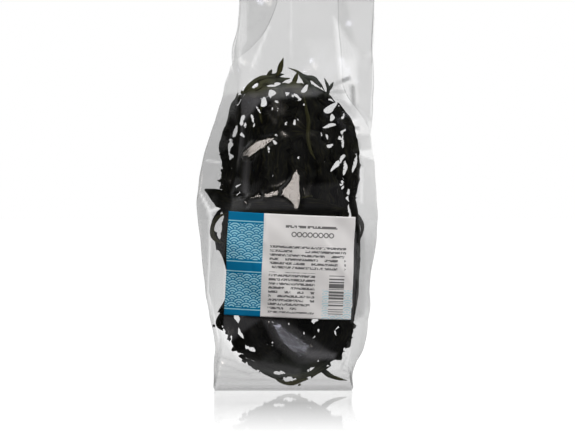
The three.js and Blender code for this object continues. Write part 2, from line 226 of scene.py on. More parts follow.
def make_soft_boxes():
    """Area lights that look at the front of the bag."""
    for name, (slopes, distance, (wide, high), brightness, colour) in SOFT_BOXES.items():
        lamp = bpy.data.lights.new(name, "AREA")
        lamp.shape = "RECTANGLE"
        lamp.size, lamp.size_y = wide, high
        lamp.energy = brightness * math.pi * wide * high
        lamp.color = colour
        box = bpy.data.objects.new(name, lamp)
        way = mirrored_way(*slopes)
        box.location = MIRROR_PLACE + way * distance
        box.rotation_euler = (-way).to_track_quat("-Z", "Y").to_euler()
        box.visible_glossy = name != "fill"
        scene.collection.objects.link(box)
        print(name, [round(v, 2) for v in box.location], round(lamp.energy, 1), "W")


make_soft_boxes()

# %% [markdown]
# ## The floor
#
# The bag stands on something like a sheet of white acrylic: plain white to the camera, with a weak
# mirror image of the bag in it. The image fades towards the camera and ends close beside and behind the
# bag. A plain glossy floor can't fade like that, so the share of the mirror is worked out from the
# place on the floor. What the film mirrors of the floor is dark near the bag and bright far behind it.

# %% The floor
FLOOR_HALF, FLOOR_DROP = 3.0, 0.0006
FLOOR_GLOW, FLOOR_MATT, FLOOR_ROUGH = 1.0, (0.1, 0.1, 0.1, 1), 0.04
FLOOR_MIRROR = 0.76
MIRROR_NEAR, MIRROR_FAR = -0.03, -0.305
MIRROR_WEAK, MIRROR_WEAK_END = 0.58, -0.1
MIRROR_BEHIND, MIRROR_SIDES = 0.1, (0.068, 0.11)
# Where the floor is dark and bright in what the film mirrors, in metres to the back, and how bright
FLOOR_SEEN_PLACES, FLOOR_SEEN = (-0.15, 0.35), (0.03, 0.8)


def keep(shape, name, material):
    """Ends a bmesh as an object in the scene."""
    mesh = bpy.data.meshes.new(name)
    shape.to_mesh(mesh)
    shape.free()
    mesh.polygons.foreach_set("use_smooth", [True] * len(mesh.polygons))
    mesh.materials.append(material)
    piece = bpy.data.objects.new(name, mesh)
    scene.collection.objects.link(piece)
    return piece


def new_material(name):
    """An empty node material, its tree and its output node."""
    material = bpy.data.materials.new(name)
    material.use_nodes = True
    material.node_tree.nodes.clear()
    output = material.node_tree.nodes.new("ShaderNodeOutputMaterial")
    return material, material.node_tree, output


def floor_material():
    """White acrylic. Its mirror image fades to the front, and reflections see it dimmer."""
    material, tree, output = new_material("white_acrylic")
    sideways, to_back, _ = coordinates(tree, "Object")
    beside = math_node(tree, "ABSOLUTE", sideways)
    fade = map_range(tree, to_back, MIRROR_FAR, MIRROR_NEAR, 0.0, FLOOR_MIRROR)
    for value, low, high, to_high in ((to_back, MIRROR_WEAK_END, MIRROR_NEAR, MIRROR_WEAK),
                                      (to_back, 0.0, MIRROR_BEHIND, 0.0), (beside, *MIRROR_SIDES, 0.0)):
        fade = math_node(tree, "MULTIPLY", fade, map_range(tree, value, low, high, 1.0, to_high))
    glow = tree.nodes.new("ShaderNodeEmission")
    glow.inputs["Strength"].default_value = FLOOR_GLOW
    dim = tree.nodes.new("ShaderNodeEmission")
    matt = tree.nodes.new("ShaderNodeBsdfDiffuse")
    matt.inputs["Color"].default_value = FLOOR_MATT
    base = tree.nodes.new("ShaderNodeAddShader")
    mirror = tree.nodes.new("ShaderNodeBsdfGlossy")
    mirror.inputs["Roughness"].default_value = FLOOR_ROUGH
    link_nodes(
        tree,
        (map_range(tree, to_back, *FLOOR_SEEN_PLACES, *FLOOR_SEEN), dim.inputs["Strength"]),
        (glow.outputs[0], base.inputs[0]),
        (matt.outputs[0], base.inputs[1]),
    )
    shiny = mix_shaders(tree, fade, base.outputs[0], mirror.outputs[0])
    tree.links.new(seen_two_ways(tree, shiny, dim.outputs[0]), output.inputs["Surface"])
    return material


def make_floor():
    """A large square, a hair under the bag."""
    shape = bmesh.new()
    bmesh.ops.create_grid(shape, x_segments=1, y_segments=1, size=FLOOR_HALF)
    floor = keep(shape, "floor", floor_material())
    floor.location = (0, 0, -FLOOR_DROP)


make_floor()
print("floor:", 2 * FLOOR_HALF, "metres wide")

# %% [markdown]
# ## The bag's form
#
# The film can bend but not stretch, and that decides the bag's form. Four long creases run up its
# corners, and one more runs up the middle of each gusset. Each half of a gusset is 25 mm of film, so
# when the creases' places across the bag are known at some height, the depth follows. The driving
# values are those of the solids, except that the edges and the left crease are moved towards the
# photograph, by up to 8 mm at the shoulders. A place on the film is given by the length run round the
# bag from the middle of its front, and by the height.

# %% The creases
BAG_HEIGHT = 285.0
GUSSET_HALF = 25.0
PANEL_HALF = 45.0
PANEL, GUSSET = 2 * PANEL_HALF, 2 * GUSSET_HALF
ROUND = 2 * PANEL + 2 * GUSSET
LEAST_DEPTH = 4.8
# How far to the right each crease is, by height, in mm
LEFT_EDGE = [(0, -46.6), (25, -42), (90, -40), (120, -36), (160, -31.2), (190, -30.5), (212, -35.5),
             (232, -32.2), (250, -30.8), (285, -31.5)]
RIGHT_EDGE = [(0, 41.4), (10, 40.4), (50, 43), (110, 45), (135, 44.5), (150, 46.5), (160, 51.2),
              (168, 53.8), (178, 54.5), (200, 55.2), (250, 56.6), (285, 58.5)]
LEFT_CREASE = [(0, -46.6), (19, -47.6), (26, -46.8), (45, -50.6), (65, -53.2), (90, -56), (130, -58.5),
               (165, -49.5), (187, -42.5), (197, -40), (205, -37.2), (212, -33), (219, -25), (232, -14),
               (250, -6.8), (285, -7.3)]
RIGHT_CREASE = [(0, 41.4), (10, 41), (25, 49.6), (45, 52.6), (70, 54.5), (105, 58.5), (130, 57.2),
                (150, 56), (163, 54.5), (176, 48), (190, 38.5), (207, 35), (250, 32.4), (285, 34.3)]


def along(keys, place):
    """A smooth curve through (place, value) keys, for an array of places."""
    places, values = np.array(keys, float).T
    last = len(places) - 1
    before, after = np.maximum(np.arange(last + 1) - 1, 0), np.minimum(np.arange(last + 1) + 1, last)
    slopes = (values[after] - values[before]) / (places[after] - places[before])
    i = np.clip(np.searchsorted(places, place, side="left") - 1, 0, last - 1)
    span = places[i + 1] - places[i]
    t = np.clip((place - places[i]) / span, 0, 1)
    return ((2 * t**3 - 3 * t**2 + 1) * values[i] + (t**3 - 2 * t**2 + t) * span * slopes[i]
            + (3 * t**2 - 2 * t**3) * values[i + 1] + (t**3 - t**2) * span * slopes[i + 1])


def creases(z):
    """Where the creases are at a height: the edges, the gussets' middles, and half the depth."""
    left, right = along(LEFT_EDGE, z), along(RIGHT_EDGE, z)
    left_middle, right_middle = along(LEFT_CREASE, z), along(RIGHT_CREASE, z)
    depths = [np.maximum(LEAST_DEPTH, np.sqrt(np.maximum(0, GUSSET_HALF**2 - (edge - middle) ** 2)))
              for edge, middle in ((left, left_middle), (right, right_middle))]
    return left, right, left_middle, right_middle, depths[0], depths[1]


print("half the bag's depth at its left and right edge, 120 mm up:",
      [round(float(depth), 1) for depth in creases(120.0)[4:]])

# %% The smooth bag
BACK_BULGE = 0.8
BULGE_POWER = 2.5
SEAM_STEP, SEAM_HALF = 0.4, 0.075
GUSSET_BOW = 1.2
# How far the front stands out between its edges, by height
BULGE = [(0, 0), (30, 4), (60, 7), (120, 9.5), (160, 10.5), (200, 7), (250, 4), (285, 0.5)]


def smooth_bag(s, z):
    """A place on the uncrumpled film, s millimetres round the bag from the middle of its front."""
    s = (s + PANEL_HALF) % ROUND
    left, right, left_middle, right_middle, left_depth, right_depth = creases(z)
    bulge = along(BULGE, z)

    def flat(u, side, share):
        part = (u + 1) / 2
        depth = left_depth + (right_depth - left_depth) * part
        crown = share * bulge * (1 - np.abs(np.clip(u, -1, 1)) ** BULGE_POWER)
        return left + (right - left) * part, side * (depth + crown)

    def fold(run, edge, middle, depth, outward):
        t = np.abs(run / GUSSET_HALF - 1)
        way = np.sign(run - GUSSET_HALF)
        bow = outward * GUSSET_BOW * np.sin(math.pi * t) * (outward * (middle - edge) > 0)
        return middle + (edge - middle) * t + bow, way * depth * t

    u = s / PANEL_HALF - 1
    front = flat(u, -1, 1.0)
    right_fold = fold(s - PANEL, right, right_middle, right_depth, 1)
    back_u = 1 - (s - PANEL - GUSSET) / PANEL_HALF
    back = flat(back_u, 1, BACK_BULGE)
    seam = SEAM_STEP * (np.abs(back_u) < SEAM_HALF)
    left_fold = fold(ROUND - s, left, left_middle, left_depth, -1)
    where = [s <= PANEL, s <= PANEL + GUSSET, s <= 2 * PANEL + GUSSET]
    x = np.select(where, [front[0], right_fold[0], back[0]], left_fold[0])
    y = np.select(where, [front[1], right_fold[1], back[1] + seam], left_fold[1])
    return np.stack([x, y, np.broadcast_to(z, x.shape)], axis=-1)


def round_of(x, z):
    """How far round the bag a place on its front is, from its x and its height."""
    left, right, *_ = creases(np.asarray(z, float))
    return np.asarray(PANEL_HALF * (2 * (x - left) / (right - left) - 1))


def short_way(s):
    """A length round the bag, taken the shorter way, so between minus and plus half its round."""
    return (s + ROUND / 2) % ROUND - ROUND / 2


def panels_at(s):
    """Whether places round the bag are on its front, right gusset, back and left gusset."""
    run = (s + PANEL_HALF) % ROUND
    right = (run > PANEL) & (run < PANEL + GUSSET)
    back = (run > PANEL + GUSSET) & (run < 2 * PANEL + GUSSET)
    return np.abs(short_way(s)) < PANEL_HALF, right, back, run > 2 * PANEL + GUSSET


print("bag 120 mm up, from its front round to its left crease:",
      np.round(smooth_bag(np.array([0.0, 45.0, 70.0, 140.0, 210.0]), np.full(5, 120.0)), 1).tolist())

# %% [markdown]
# ## The crumples
#
# New film is smooth, but film that has been filled, squeezed and stood up is full of sharp little
# ridges with nearly flat facets between them. A ridge is straight, steep at its top and dies out at
# its ends, so here each one is a line with a tent-shaped rise. The large ones are where the photograph
# shows them. The small ones are drawn at random, mostly steep, with a fixed seed. The pale highlights
# are flat facets that mirror a soft box, and a facet is a plane: the film is taken to the plane with
# the box's slopes inside an outline, and back to its own form over a narrow margin.

# %% The ridges that show
# Two places in the photograph's pixels, the slope of the side on the left of the line between them,
# that side's width at both ends in mm, and the other side's widths
RIDGES_SEEN = [
    (344, 122, 366, 119, 0.34, 1.3, 2.0, 2.0, 2.6),
    (346, 134, 366, 136, 0.34, 1.2, 1.8, 2.2, 2.6),
    (350, 148, 370, 143, 0.34, 1.2, 2.0, 2.0, 2.6),
    (354, 159, 370, 166, 0.30, 1.2, 1.8, 2.2, 2.6),
    (356, 177, 372, 182, 0.30, 1.2, 1.8, 2.2, 2.6),
    (219, 336, 243, 363, 0.30, 1.4, 2.4, 2.2, 2.6),
    (252, 65, 268, 20, 0.26, 0.9, 0.6, 1.6, 1.6),
    (239, 66, 244, 52, 0.3, 1.6, 0.6, 1.6, 1.6),
    (248, 30, 249, 0, 0.28, 0.7, 0.7, 1.6, 1.6),
    (291, 55, 290, 0, 0.2, 0.8, 0.8, 2.6, 2.6),
    (207, 260, 222, 180, 0.16, 3.0, 2.0, 4.0, 3.0),
]
print(len(RIDGES_SEEN), "ridges that show")

# %% The facets
# Flat facets of the front that mirror something: their slopes to the left and up, how much the first
# one changes a millimetre, how far they stand out in mm, and their corners in the photograph's pixels
FACETS = {
    "cone": (LEFT_BOX, 0.003, 1.0, [(297, 168), (300, 180), (301, 197), (299.5, 205), (297, 208),
                                    (291, 202), (284, 197), (279, 195), (280, 190.5), (285, 186.5),
                                    (291, 179)]),
    "thin_streak": (LEFT_BOX, 0, 0.1, [(262, 193.6), (270, 191.4), (279, 189.6), (279.5, 195),
                                       (264, 197.2)]),
    "thin_streak_end": (LEFT_BOX, 0, 0.1, [(246, 197.6), (254, 195.8), (261, 194.2), (261, 197.8),
                                           (250, 199.8)]),
    "bent_streak": (LEFT_BOX, 0, 0.8, [(245.5, 158), (245.5, 152), (251, 144.5), (262, 138), (275.5, 135.5),
                                       (273, 141.6), (265, 146.5), (258, 152.5), (252, 159)]),
    "small_streak": (LEFT_BOX, 0, 0.3, [(242.5, 196), (244.5, 196), (248, 205.5), (246, 206)]),
    "leaf_streak": (LEFT_BOX, 0, 0.3, [(224, 194), (233, 192.4), (244, 196.5), (236, 197)]),
    "low_streak": (RIGHT_BOX, 0.0015, 1.0, [(271, 323), (283, 326), (297, 334), (311, 344), (308, 351),
                                           (302.5, 359), (297, 357), (288, 350.5), (278, 339)]),
}
FACET_MARGIN = 1.6
print(len(FACETS), "facets")

# %% The crumples
CRUMPLE_SEED = 11
RIDGES_DRAWN = 120
# The drawn ridges: their lowest height and their lengths in mm, how far they lean, how steep they are,
# what share of that the smoother front gets, and the widths of their sides
DRAWN_LOWEST, DRAWN_LENGTHS = 4, (12, 46)
DRAWN_LEAN, DRAWN_SLOPE = 0.5, 0.12
FRONT_SHARE = 0.35
DRAWN_WIDTHS = (1.5, 5)
END_LENGTH = 4.0
# Broad waves: the most they rise, how many there are round the bag, their length up it, their phase
BROAD_WAVES = [(0.55, 5, 61.0, 0.4), (0.3, 8, 39.0, 2.1), (0.16, 15, 17.0, 4.2)]
WAVE_LEAN = 23
CALM_BOTTOM = 9


def ridge_table():
    """Every ridge as a row: two places on the film, the left side's slope, and the four widths."""
    rows = []
    for column0, row0, column1, row1, *rest in RIDGES_SEEN:
        (x0, z0), (x1, z1) = photo_place(column0, row0), photo_place(column1, row1)
        rows.append((round_of(x0, z0), z0, round_of(x1, z1), z1, *rest))
    rng = np.random.default_rng(CRUMPLE_SEED)
    for _ in range(RIDGES_DRAWN):
        s, z = rng.uniform(0, ROUND), rng.uniform(DRAWN_LOWEST, BAG_HEIGHT)
        lean, length = rng.normal(math.pi / 2, DRAWN_LEAN), rng.uniform(*DRAWN_LENGTHS)
        half = np.array([math.cos(lean), math.sin(lean)]) * length / 2
        on_front = s < PANEL_HALF or s > ROUND - PANEL_HALF
        slope = rng.normal(0, DRAWN_SLOPE) * (FRONT_SHARE if on_front else 1)
        widths = rng.uniform(*DRAWN_WIDTHS, 4)
        rows.append((s - half[0], z - half[1], s + half[0], z + half[1], slope, *widths))
    return np.array(rows, float)


RIDGES = ridge_table()


def inside_distance(x, z, corners):
    """How far places are inside an outline, negative outside it."""
    nearest, inside = np.full(x.shape, np.inf), np.zeros(x.shape, bool)
    for (x0, z0), (x1, z1) in zip(corners, corners[1:] + corners[:1]):
        run_x, run_z = x1 - x0, z1 - z0
        t = np.clip(((x - x0) * run_x + (z - z0) * run_z) / (run_x**2 + run_z**2), 0, 1)
        nearest = np.minimum(nearest, np.hypot(x - x0 - t * run_x, z - z0 - t * run_z))
        crossed = (z0 > z) != (z1 > z)
        inside ^= crossed & (x < x0 + (z - z0) * run_x / (run_z if run_z else 1e-9))
    return np.where(inside, nearest, -nearest)


def flatten_facets(s, z, place, rise):
    """Takes the crumpled front to the planes of its facets. Returns the new rise."""
    x, out = place[..., 0], -place[..., 1]
    on_front, *_ = panels_at(s)
    for (left, up), bend, stand, pixels in FACETS.values():
        corners = [photo_place(*pixel) for pixel in pixels]
        middle_x, middle_z = np.mean(corners, axis=0)
        middle = -smooth_bag(round_of(middle_x, middle_z)[None], np.array([middle_z]))[0, 1]
        plane = middle + stand + (left + bend * (x - middle_x)) * (x - middle_x) - up * (z - middle_z)
        share = np.clip(1 + inside_distance(x, z, corners) / FACET_MARGIN, 0, 1) * on_front
        share = share * share * (3 - 2 * share)
        rise = rise + (plane - out - rise) * share
    return rise


def crumple(s, z):
    """How far the film stands out of its smooth form."""
    rise = np.zeros(np.broadcast(s, z).shape)
    for s0, z0, s1, z1, slope, near0, near1, far0, far1 in RIDGES:
        ds = short_way(s - s0)
        run_s, run_z = s1 - s0, z1 - z0
        length = math.hypot(run_s, run_z)
        t = (ds * run_s + (z - z0) * run_z) / length**2
        off = ((z - z0) * run_s - ds * run_z) / length
        inside = np.clip(t, 0, 1)
        near = near0 + (near1 - near0) * inside
        far = far0 + (far1 - far0) * inside
        share = np.clip(1 - np.where(off > 0, off / near, -off / far), 0, 1)
        ends = np.clip(np.minimum(t, 1 - t) * length / END_LENGTH, 0, 1)
        rise += slope * near * share * ends * ends * (3 - 2 * ends)
    for most, turns, long_z, phase in BROAD_WAVES:
        across = np.sin(s * TURN / ROUND * turns + phase + z / WAVE_LEAN)
        rise += most * across * np.sin(z / long_z * TURN + phase)
    return rise * np.clip(z / CALM_BOTTOM, 0, 1)


print(len(RIDGES), "ridges in all")

# %% The crumpled film
STEP_ROUND, STEP_UP = 0.4, 0.6


def unit(v):
    """Vectors of length one."""
    return v / np.maximum(np.linalg.norm(v, axis=-1, keepdims=True), 1e-9)


def film_place(s, z, lift=0.0):
    """A place on the crumpled film, lifted off it by a distance. The film's own face is at 0."""
    base = smooth_bag(s, z)
    rise = flatten_facets(s, z, base, crumple(s, z))
    run = smooth_bag(s + STEP_ROUND, z) - smooth_bag(s - STEP_ROUND, z)
    above, below = (smooth_bag(s, np.clip(z + step, 0, BAG_HEIGHT)) for step in (STEP_UP, -STEP_UP))
    out = np.cross(run, above - below)
    out[..., 2] = 0
    return base + unit(out) * (rise + lift)[..., None]


def grid_mesh(x_segments, y_segments, place, name_uv=None, stretch=1.0):
    """A flat grid bent by a formula of its own two coordinates, both from 0 to 1, in millimetres."""
    shape = bmesh.new()
    uv = shape.loops.layers.uv.new(name_uv) if name_uv else None
    bmesh.ops.create_grid(shape, x_segments=x_segments, y_segments=y_segments, size=1.0)
    flat = (np.array([v.co[:2] for v in shape.verts]) + 1) / 2
    bent = place(flat[:, 0], flat[:, 1]) * MM
    if uv:
        for face in shape.faces:
            for loop in face.loops:
                loop[uv].uv = flat[loop.vert.index] * (stretch, 1)
    for vert, co in zip(shape.verts, bent.tolist()):
        vert.co = co
    return shape


print("the middle of the film's front, 120 mm up:",
      np.round(film_place(np.array([0.0]), np.array([120.0])), 1).tolist())

# %% [markdown]
# ## The finish of the film
#
# Film this thin is nearly all clear: light goes straight on through it, and a small share is
# reflected, more at grazing angles. A glass shader would bend the light, which film doesn't, so the
# material is a transparent shader mixed with a glossy one by the angle of view. The film isn't set the
# same all over: it is greyer in places as painted shade and clearer in others as painted light, with
# painted highlights and shade along its creases, its patches of white haze are painted reflections and
# highlights, and it mirrors less in patches where reflections of the soft boxes are turned down. Three
# numbers at each point of the mesh say how clear, how hazy and how shiny the film is there, and the
# material reads them as attributes.

# %% How clear the film is
# By height in mm: greyer in a band at the bottom fold and in stretches low on the gussets, painted shade;
# clearer towards the gussets' tops
PANEL_CLEAR_AND_SHADE = [(0, 0.87), (8, 0.87), (8.6, 0.905), (60, 0.915), (285, 0.922)]
LEFT_CLEAR_AND_SHADE = [(0, 0.88), (60, 0.875), (100, 0.855), (150, 0.835), (195, 0.86), (208, 0.95), (225, 0.975),
              (285, 0.985)]
RIGHT_CLEAR_AND_SHADE = [(0, 0.88), (45, 0.88), (58, 0.835), (84, 0.835), (110, 0.88), (160, 0.92), (185, 0.985),
               (285, 0.99)]
# Patches and lines of another clearness, with their corners in the photograph's pixels: the clearer patches
# are painted light, the greyer ones painted shade
PAINTED_LIGHT_SHADE_PATCHES = [
    (0.985, [(334, 15), (346, 34), (364, 58), (364, 104), (346, 104), (341, 84)]),
    (0.97, [(358, 56), (380, 50), (380, 118), (359, 118)]),
    (0.99, [(217, 330), (227, 330), (247, 365), (240, 363)]),
    (0.885, [(206, 361), (246, 366), (286, 378), (330, 378), (350, 372), (350, 380), (210, 380)]),
    (0.8, [(354, 226), (363, 222), (367, 262), (365, 318), (354, 322)]),
    (0.835, [(198, 206), (213, 206), (211, 300), (202, 300)]),
    (0.885, [(222, 60), (242, 60), (238, 92), (220, 96)]),
]
# The lines are painted highlights, the clearer ones, and painted shade, the greyer ones, along creases
PAINTED_CREASE_LINES = [
    (0.9, [(351.5, 84), (355, 86), (356, 102), (355.4, 118), (352.2, 118), (352, 100)]),
    (0.88, [(340, 102), (346, 101), (351.5, 108), (351, 115), (345, 110)]),
    (0.97, [(352, 119), (366, 117), (373, 119), (374.5, 135), (362, 135), (355, 133)]),
    (0.86, [(352, 127), (359, 126.5), (359.5, 129.5), (352.5, 130)]),
    (0.86, [(355, 136), (358, 138), (361, 146), (360, 151), (356, 149), (354.5, 142)]),
    (0.985, [(352, 150.5), (358, 151), (376, 149), (376, 161), (364, 157), (356, 153)]),
    (0.87, [(358, 153.5), (360.5, 156), (364, 166), (362.5, 168), (359, 160)]),
    (0.95, [(361, 168), (363.5, 168), (364, 204), (361.5, 204)]),
    (0.97, [(198, 194), (200, 194), (209.5, 210), (211, 222), (209, 222), (206.5, 212)]),
    (0.965, [(208.3, 222), (210.4, 222), (209, 270), (207.8, 296), (206.8, 296), (207.6, 270)]),
    (0.96, [(209, 210), (221, 207.5), (222, 209.5), (213, 212.5), (210, 216)]),
    (0.92, [(205, 160), (219, 162), (219, 164), (205, 162)]),
    (0.95, [(206.5, 295), (208, 295), (219.5, 344), (217.5, 344)]),
    (0.87, [(327, 91), (336, 81.5), (350, 76), (351, 79), (338, 85)]),
    (0.87, [(329, 92.5), (336, 89.5), (345, 90.5), (345, 92.5), (336, 93.5)]),
    (0.88, [(330, 94.5), (342, 100), (352, 107), (350.5, 109.5), (340, 102)]),
    (0.97, [(236, 0), (246.5, 0), (246.5, 40), (238, 60), (236.5, 40)]),
    (0.965, [(268.5, 24), (271, 24), (256, 62), (250, 72), (252, 62)]),
    (0.96, [(290.5, 0), (292, 0), (291.5, 55), (290.3, 55)]),
    (0.97, [(238, 54), (240.5, 54), (244, 64), (239.5, 66)]),
    (0.83, [(214, 377.4), (252, 378.6), (290, 380.4), (330, 379), (352, 377), (352, 378.4), (290, 382),
            (214, 379)]),
    (0.83, [(213, 360.4), (232, 367), (252, 375), (252, 376.6), (232, 369), (213, 362)]),
    (0.86, [(352, 378), (340, 368), (346, 356), (347.6, 357), (342.6, 368), (353, 376)]),
]
print(len(PAINTED_LIGHT_SHADE_PATCHES) + len(PAINTED_CREASE_LINES), "patches and lines of another clearness")

# %% How hazy and how shiny the film is
FILM_HAZE = 0.0015
# Hazy patches of the front: painted reflections and highlights
PAINTED_REFLECTION_PATCHES = [
    (0.075, [(241, 95), (262, 99), (252, 112), (242, 124), (240, 108)]),
    (0.05, [(241, 95.5), (262, 91), (280, 87), (298, 85), (322, 92), (316, 95.5), (290, 97), (268, 100),
            (250, 98)]),
    (0.05, [(246, 156), (250.5, 158), (248.5, 176), (247.5, 196), (242.5, 194), (243, 170)]),
    (0.02, [(229, 84), (231.5, 84), (230.5, 150), (232, 204), (229.5, 204), (228, 150)]),
    (0.05, [(233, 112), (243, 106), (243, 150), (238, 166), (231, 150)]),
    (0.009, [(306, 186), (340, 182), (350, 208), (304, 208)]),
    (0.12, [(291, 341), (300, 346), (304.5, 350), (302, 357), (297, 353)]),
    (0.018, [(222, 198), (250, 199.5), (284, 197), (298, 209), (240, 209), (224, 208)]),
    (0.03, [(262, 318), (284, 320), (308, 336), (330, 352), (318, 362), (298, 364), (276, 346)]),
    (0.08, [(304, 350), (318, 350), (336, 354), (334, 359), (318, 358.5), (306, 357)]),
    (0.05, [(352, 236), (362, 230), (366, 260), (364, 320), (352, 322)]),
    (0.03, [(218, 312), (262, 318), (240, 334), (228, 344), (220, 330)]),
    (0.03, [(238, 360), (256, 361), (280, 364), (300, 368), (300, 378), (276, 376), (250, 368)]),
]
# Patches that mirror less, where reflections of the soft boxes are turned down
DULL_PATCHES = [
    (0.05, [(240, 76), (324, 76), (326, 132), (236, 132)]),
    (0.05, [(303.5, 160), (348, 160), (348, 209), (303.5, 209)]),
    (0.05, [(212, 306), (246, 306), (252, 350), (214, 354)]),
    (0.35, [(236, 52), (262, 52), (260, 78), (232, 84)]),
    (0.1, [(306, 40), (337, 40), (345, 88), (320, 86)]),
    (0.1, [(337, 102), (358, 106), (358, 124), (340, 122)]),
    (0.25, [(340, 58), (357, 58), (357, 84), (343, 84)]),
    (0.1, [(347, 0), (380, 0), (380, 60), (356, 50)]),
]
print(len(PAINTED_REFLECTION_PATCHES), "hazy patches and", len(DULL_PATCHES), "dull ones")

# %% The film's numbers
AREA_MARGIN, LINE_MARGIN = 2.6, 1.0


def patched(value, x, z, patches, margin):
    """Takes a value to those of the patches where a place is inside one."""
    for wanted, pixels in patches:
        share = inside_distance(x, z, [photo_place(*pixel) for pixel in pixels]) / margin
        value = value + (wanted - value) * np.clip(share + 0.5, 0, 1)
    return value


def film_clear_and_painted_light(s, z):
    """How much of the light each face of the film lets through, round the bag and up it, with painted light
    and shade set into it in patches and along creases.
    """
    x = smooth_bag(s, z)[:, 0]
    _, right, _, left = panels_at(s)
    clear = np.select([right, left], [along(RIGHT_CLEAR_AND_SHADE, z), along(LEFT_CLEAR_AND_SHADE, z)], along(PANEL_CLEAR_AND_SHADE, z))
    clear = patched(clear, x, z, PAINTED_LIGHT_SHADE_PATCHES, AREA_MARGIN)
    return patched(clear, x, z, PAINTED_CREASE_LINES, LINE_MARGIN)


def film_haze_and_painted_reflection(s, z):
    """How matt the film is: only its front is, and its patches of haze are painted reflections and
    highlights.
    """
    x = smooth_bag(s, z)[:, 0]
    front, *_ = panels_at(s)
    return patched(np.full(s.shape, FILM_HAZE), x, z, PAINTED_REFLECTION_PATCHES, AREA_MARGIN) * front


def film_shine(s, z):
    """How much of its mirror image the film shows. The patches aren't on the back."""
    x = smooth_bag(s, z)[:, 0]
    _, _, back, _ = panels_at(s)
    return np.where(back, 1.0, patched(np.ones(s.shape), x, z, DULL_PATCHES, AREA_MARGIN))


FILM_NUMBERS = {"clear": film_clear_and_painted_light, "haze": film_haze_and_painted_reflection, "shine": film_shine}
print("the film's front, 5 mm up:",
      {name: number(np.zeros(1), np.full(1, 5.0)).round(3).item() for name, number in FILM_NUMBERS.items()})

# %% The film's material
FILM_GLOSS = 0.13
HAZE_COLOUR = (0.85, 0.84, 0.88, 1)
# The share of mirror image head on and at grazing angles, and how late it rises from one to the other
HEAD_ON, GRAZING, RISE_POWER = 0.03, 0.5, 5
RIPPLE_NOISE, RIPPLE_STRENGTH, RIPPLE_HEIGHT = (130, 3), 0.1, 0.001


def read_number(tree, name):
    """A number that the mesh carries at each of its points."""
    reader = tree.nodes.new("ShaderNodeAttribute")
    reader.attribute_name = name
    return reader.outputs["Fac"]


def noise_at(tree, place, scale, detail):
    """A Noise node at a place. Returns its output."""
    noise = tree.nodes.new("ShaderNodeTexNoise")
    noise.inputs["Scale"].default_value = scale
    noise.inputs["Detail"].default_value = detail
    tree.links.new(place, noise.inputs["Vector"])
    return noise.outputs[0]


def bumped(tree, height, strength, distance):
    """The normal of a surface with a fine relief."""
    bump = tree.nodes.new("ShaderNodeBump")
    bump.inputs["Strength"].default_value = strength
    bump.inputs["Distance"].default_value = distance
    tree.links.new(height, bump.inputs["Height"])
    return bump.outputs[0]


def film_material():
    """Clear film: transparent, glossy by the angle of view, with a little haze."""
    material, tree, output = new_material("clear_film")
    clear = tree.nodes.new("ShaderNodeBsdfTransparent")
    haze = tree.nodes.new("ShaderNodeBsdfDiffuse")
    haze.inputs["Color"].default_value = HAZE_COLOUR
    gloss = tree.nodes.new("ShaderNodeBsdfGlossy")
    gloss.inputs["Color"].default_value = (1, 1, 1, 1)
    gloss.inputs["Roughness"].default_value = FILM_GLOSS
    facing = tree.nodes.new("ShaderNodeLayerWeight")
    facing.inputs["Blend"].default_value = 0.5
    steep = math_node(tree, "POWER", facing.outputs["Facing"], RISE_POWER)
    mirrored = math_node(tree, "MULTIPLY", map_range(tree, steep, 0, 1, HEAD_ON, GRAZING),
                         read_number(tree, "shine"))
    place = tree.nodes.new("ShaderNodeTexCoord")
    ripple = noise_at(tree, place.outputs["Object"], *RIPPLE_NOISE)
    # The haze carries painted reflections and highlights in patches
    hazy_with_painted_reflection = mix_shaders(tree, read_number(tree, "haze"), clear.outputs[0], haze.outputs[0])
    link_nodes(
        tree,
        # The clearness carries painted light and shade as well as the film's own grey
        (read_number(tree, "clear"), clear.inputs["Color"]),
        (bumped(tree, ripple, RIPPLE_STRENGTH, RIPPLE_HEIGHT), gloss.inputs["Normal"]),
        (mix_shaders(tree, mirrored, hazy_with_painted_reflection, gloss.outputs[0]), output.inputs["Surface"]),
    )
    return material


film = film_material()
print("nodes of the film:", len(film.node_tree.nodes))

# %% [markdown]
# ## The bag
#
# The bag could be a cloth simulation, but a simulated bag wouldn't have its creases where this one
# has them. So a grid is wrapped round the formula above: its left and right edges meet in the middle
# of the front and are merged, its lower edge is closed by the bottom panel, and a thin wall is added.

# %% The bag
FILM_THICK = 0.09
FILM_ROUND, FILM_UP = 216, 208
# Where the grid's columns and rows go: (share of the cells, place), so that the front gets the finest ones
COLUMN_PLACES = [(0, -45), (0.56, 45), (0.68, 95), (0.88, 185), (1, 235)]
ROW_PLACES = [(0, 0), (0.83, 205), (1, 285)]
# The seam's two edges meet within the first distance, and the bottom's edge lies under the second
SEAM_GAP, BOTTOM_TOP = 0.02 * MM, 0.1 * MM


def write_number(shape, name, values):
    """Gives each point of a mesh a number that a material can read."""
    layer = shape.verts.layers.float.new(name)
    for vert, value in zip(shape.verts, values):
        vert[layer] = value


def thicken(piece, thickness, outwards):
    """Gives a sheet its thickness in mm: outwards with 1, inwards with -1, both ways with 0."""
    wall = piece.modifiers.new("thickness", "SOLIDIFY")
    wall.thickness = thickness * MM
    wall.offset = outwards


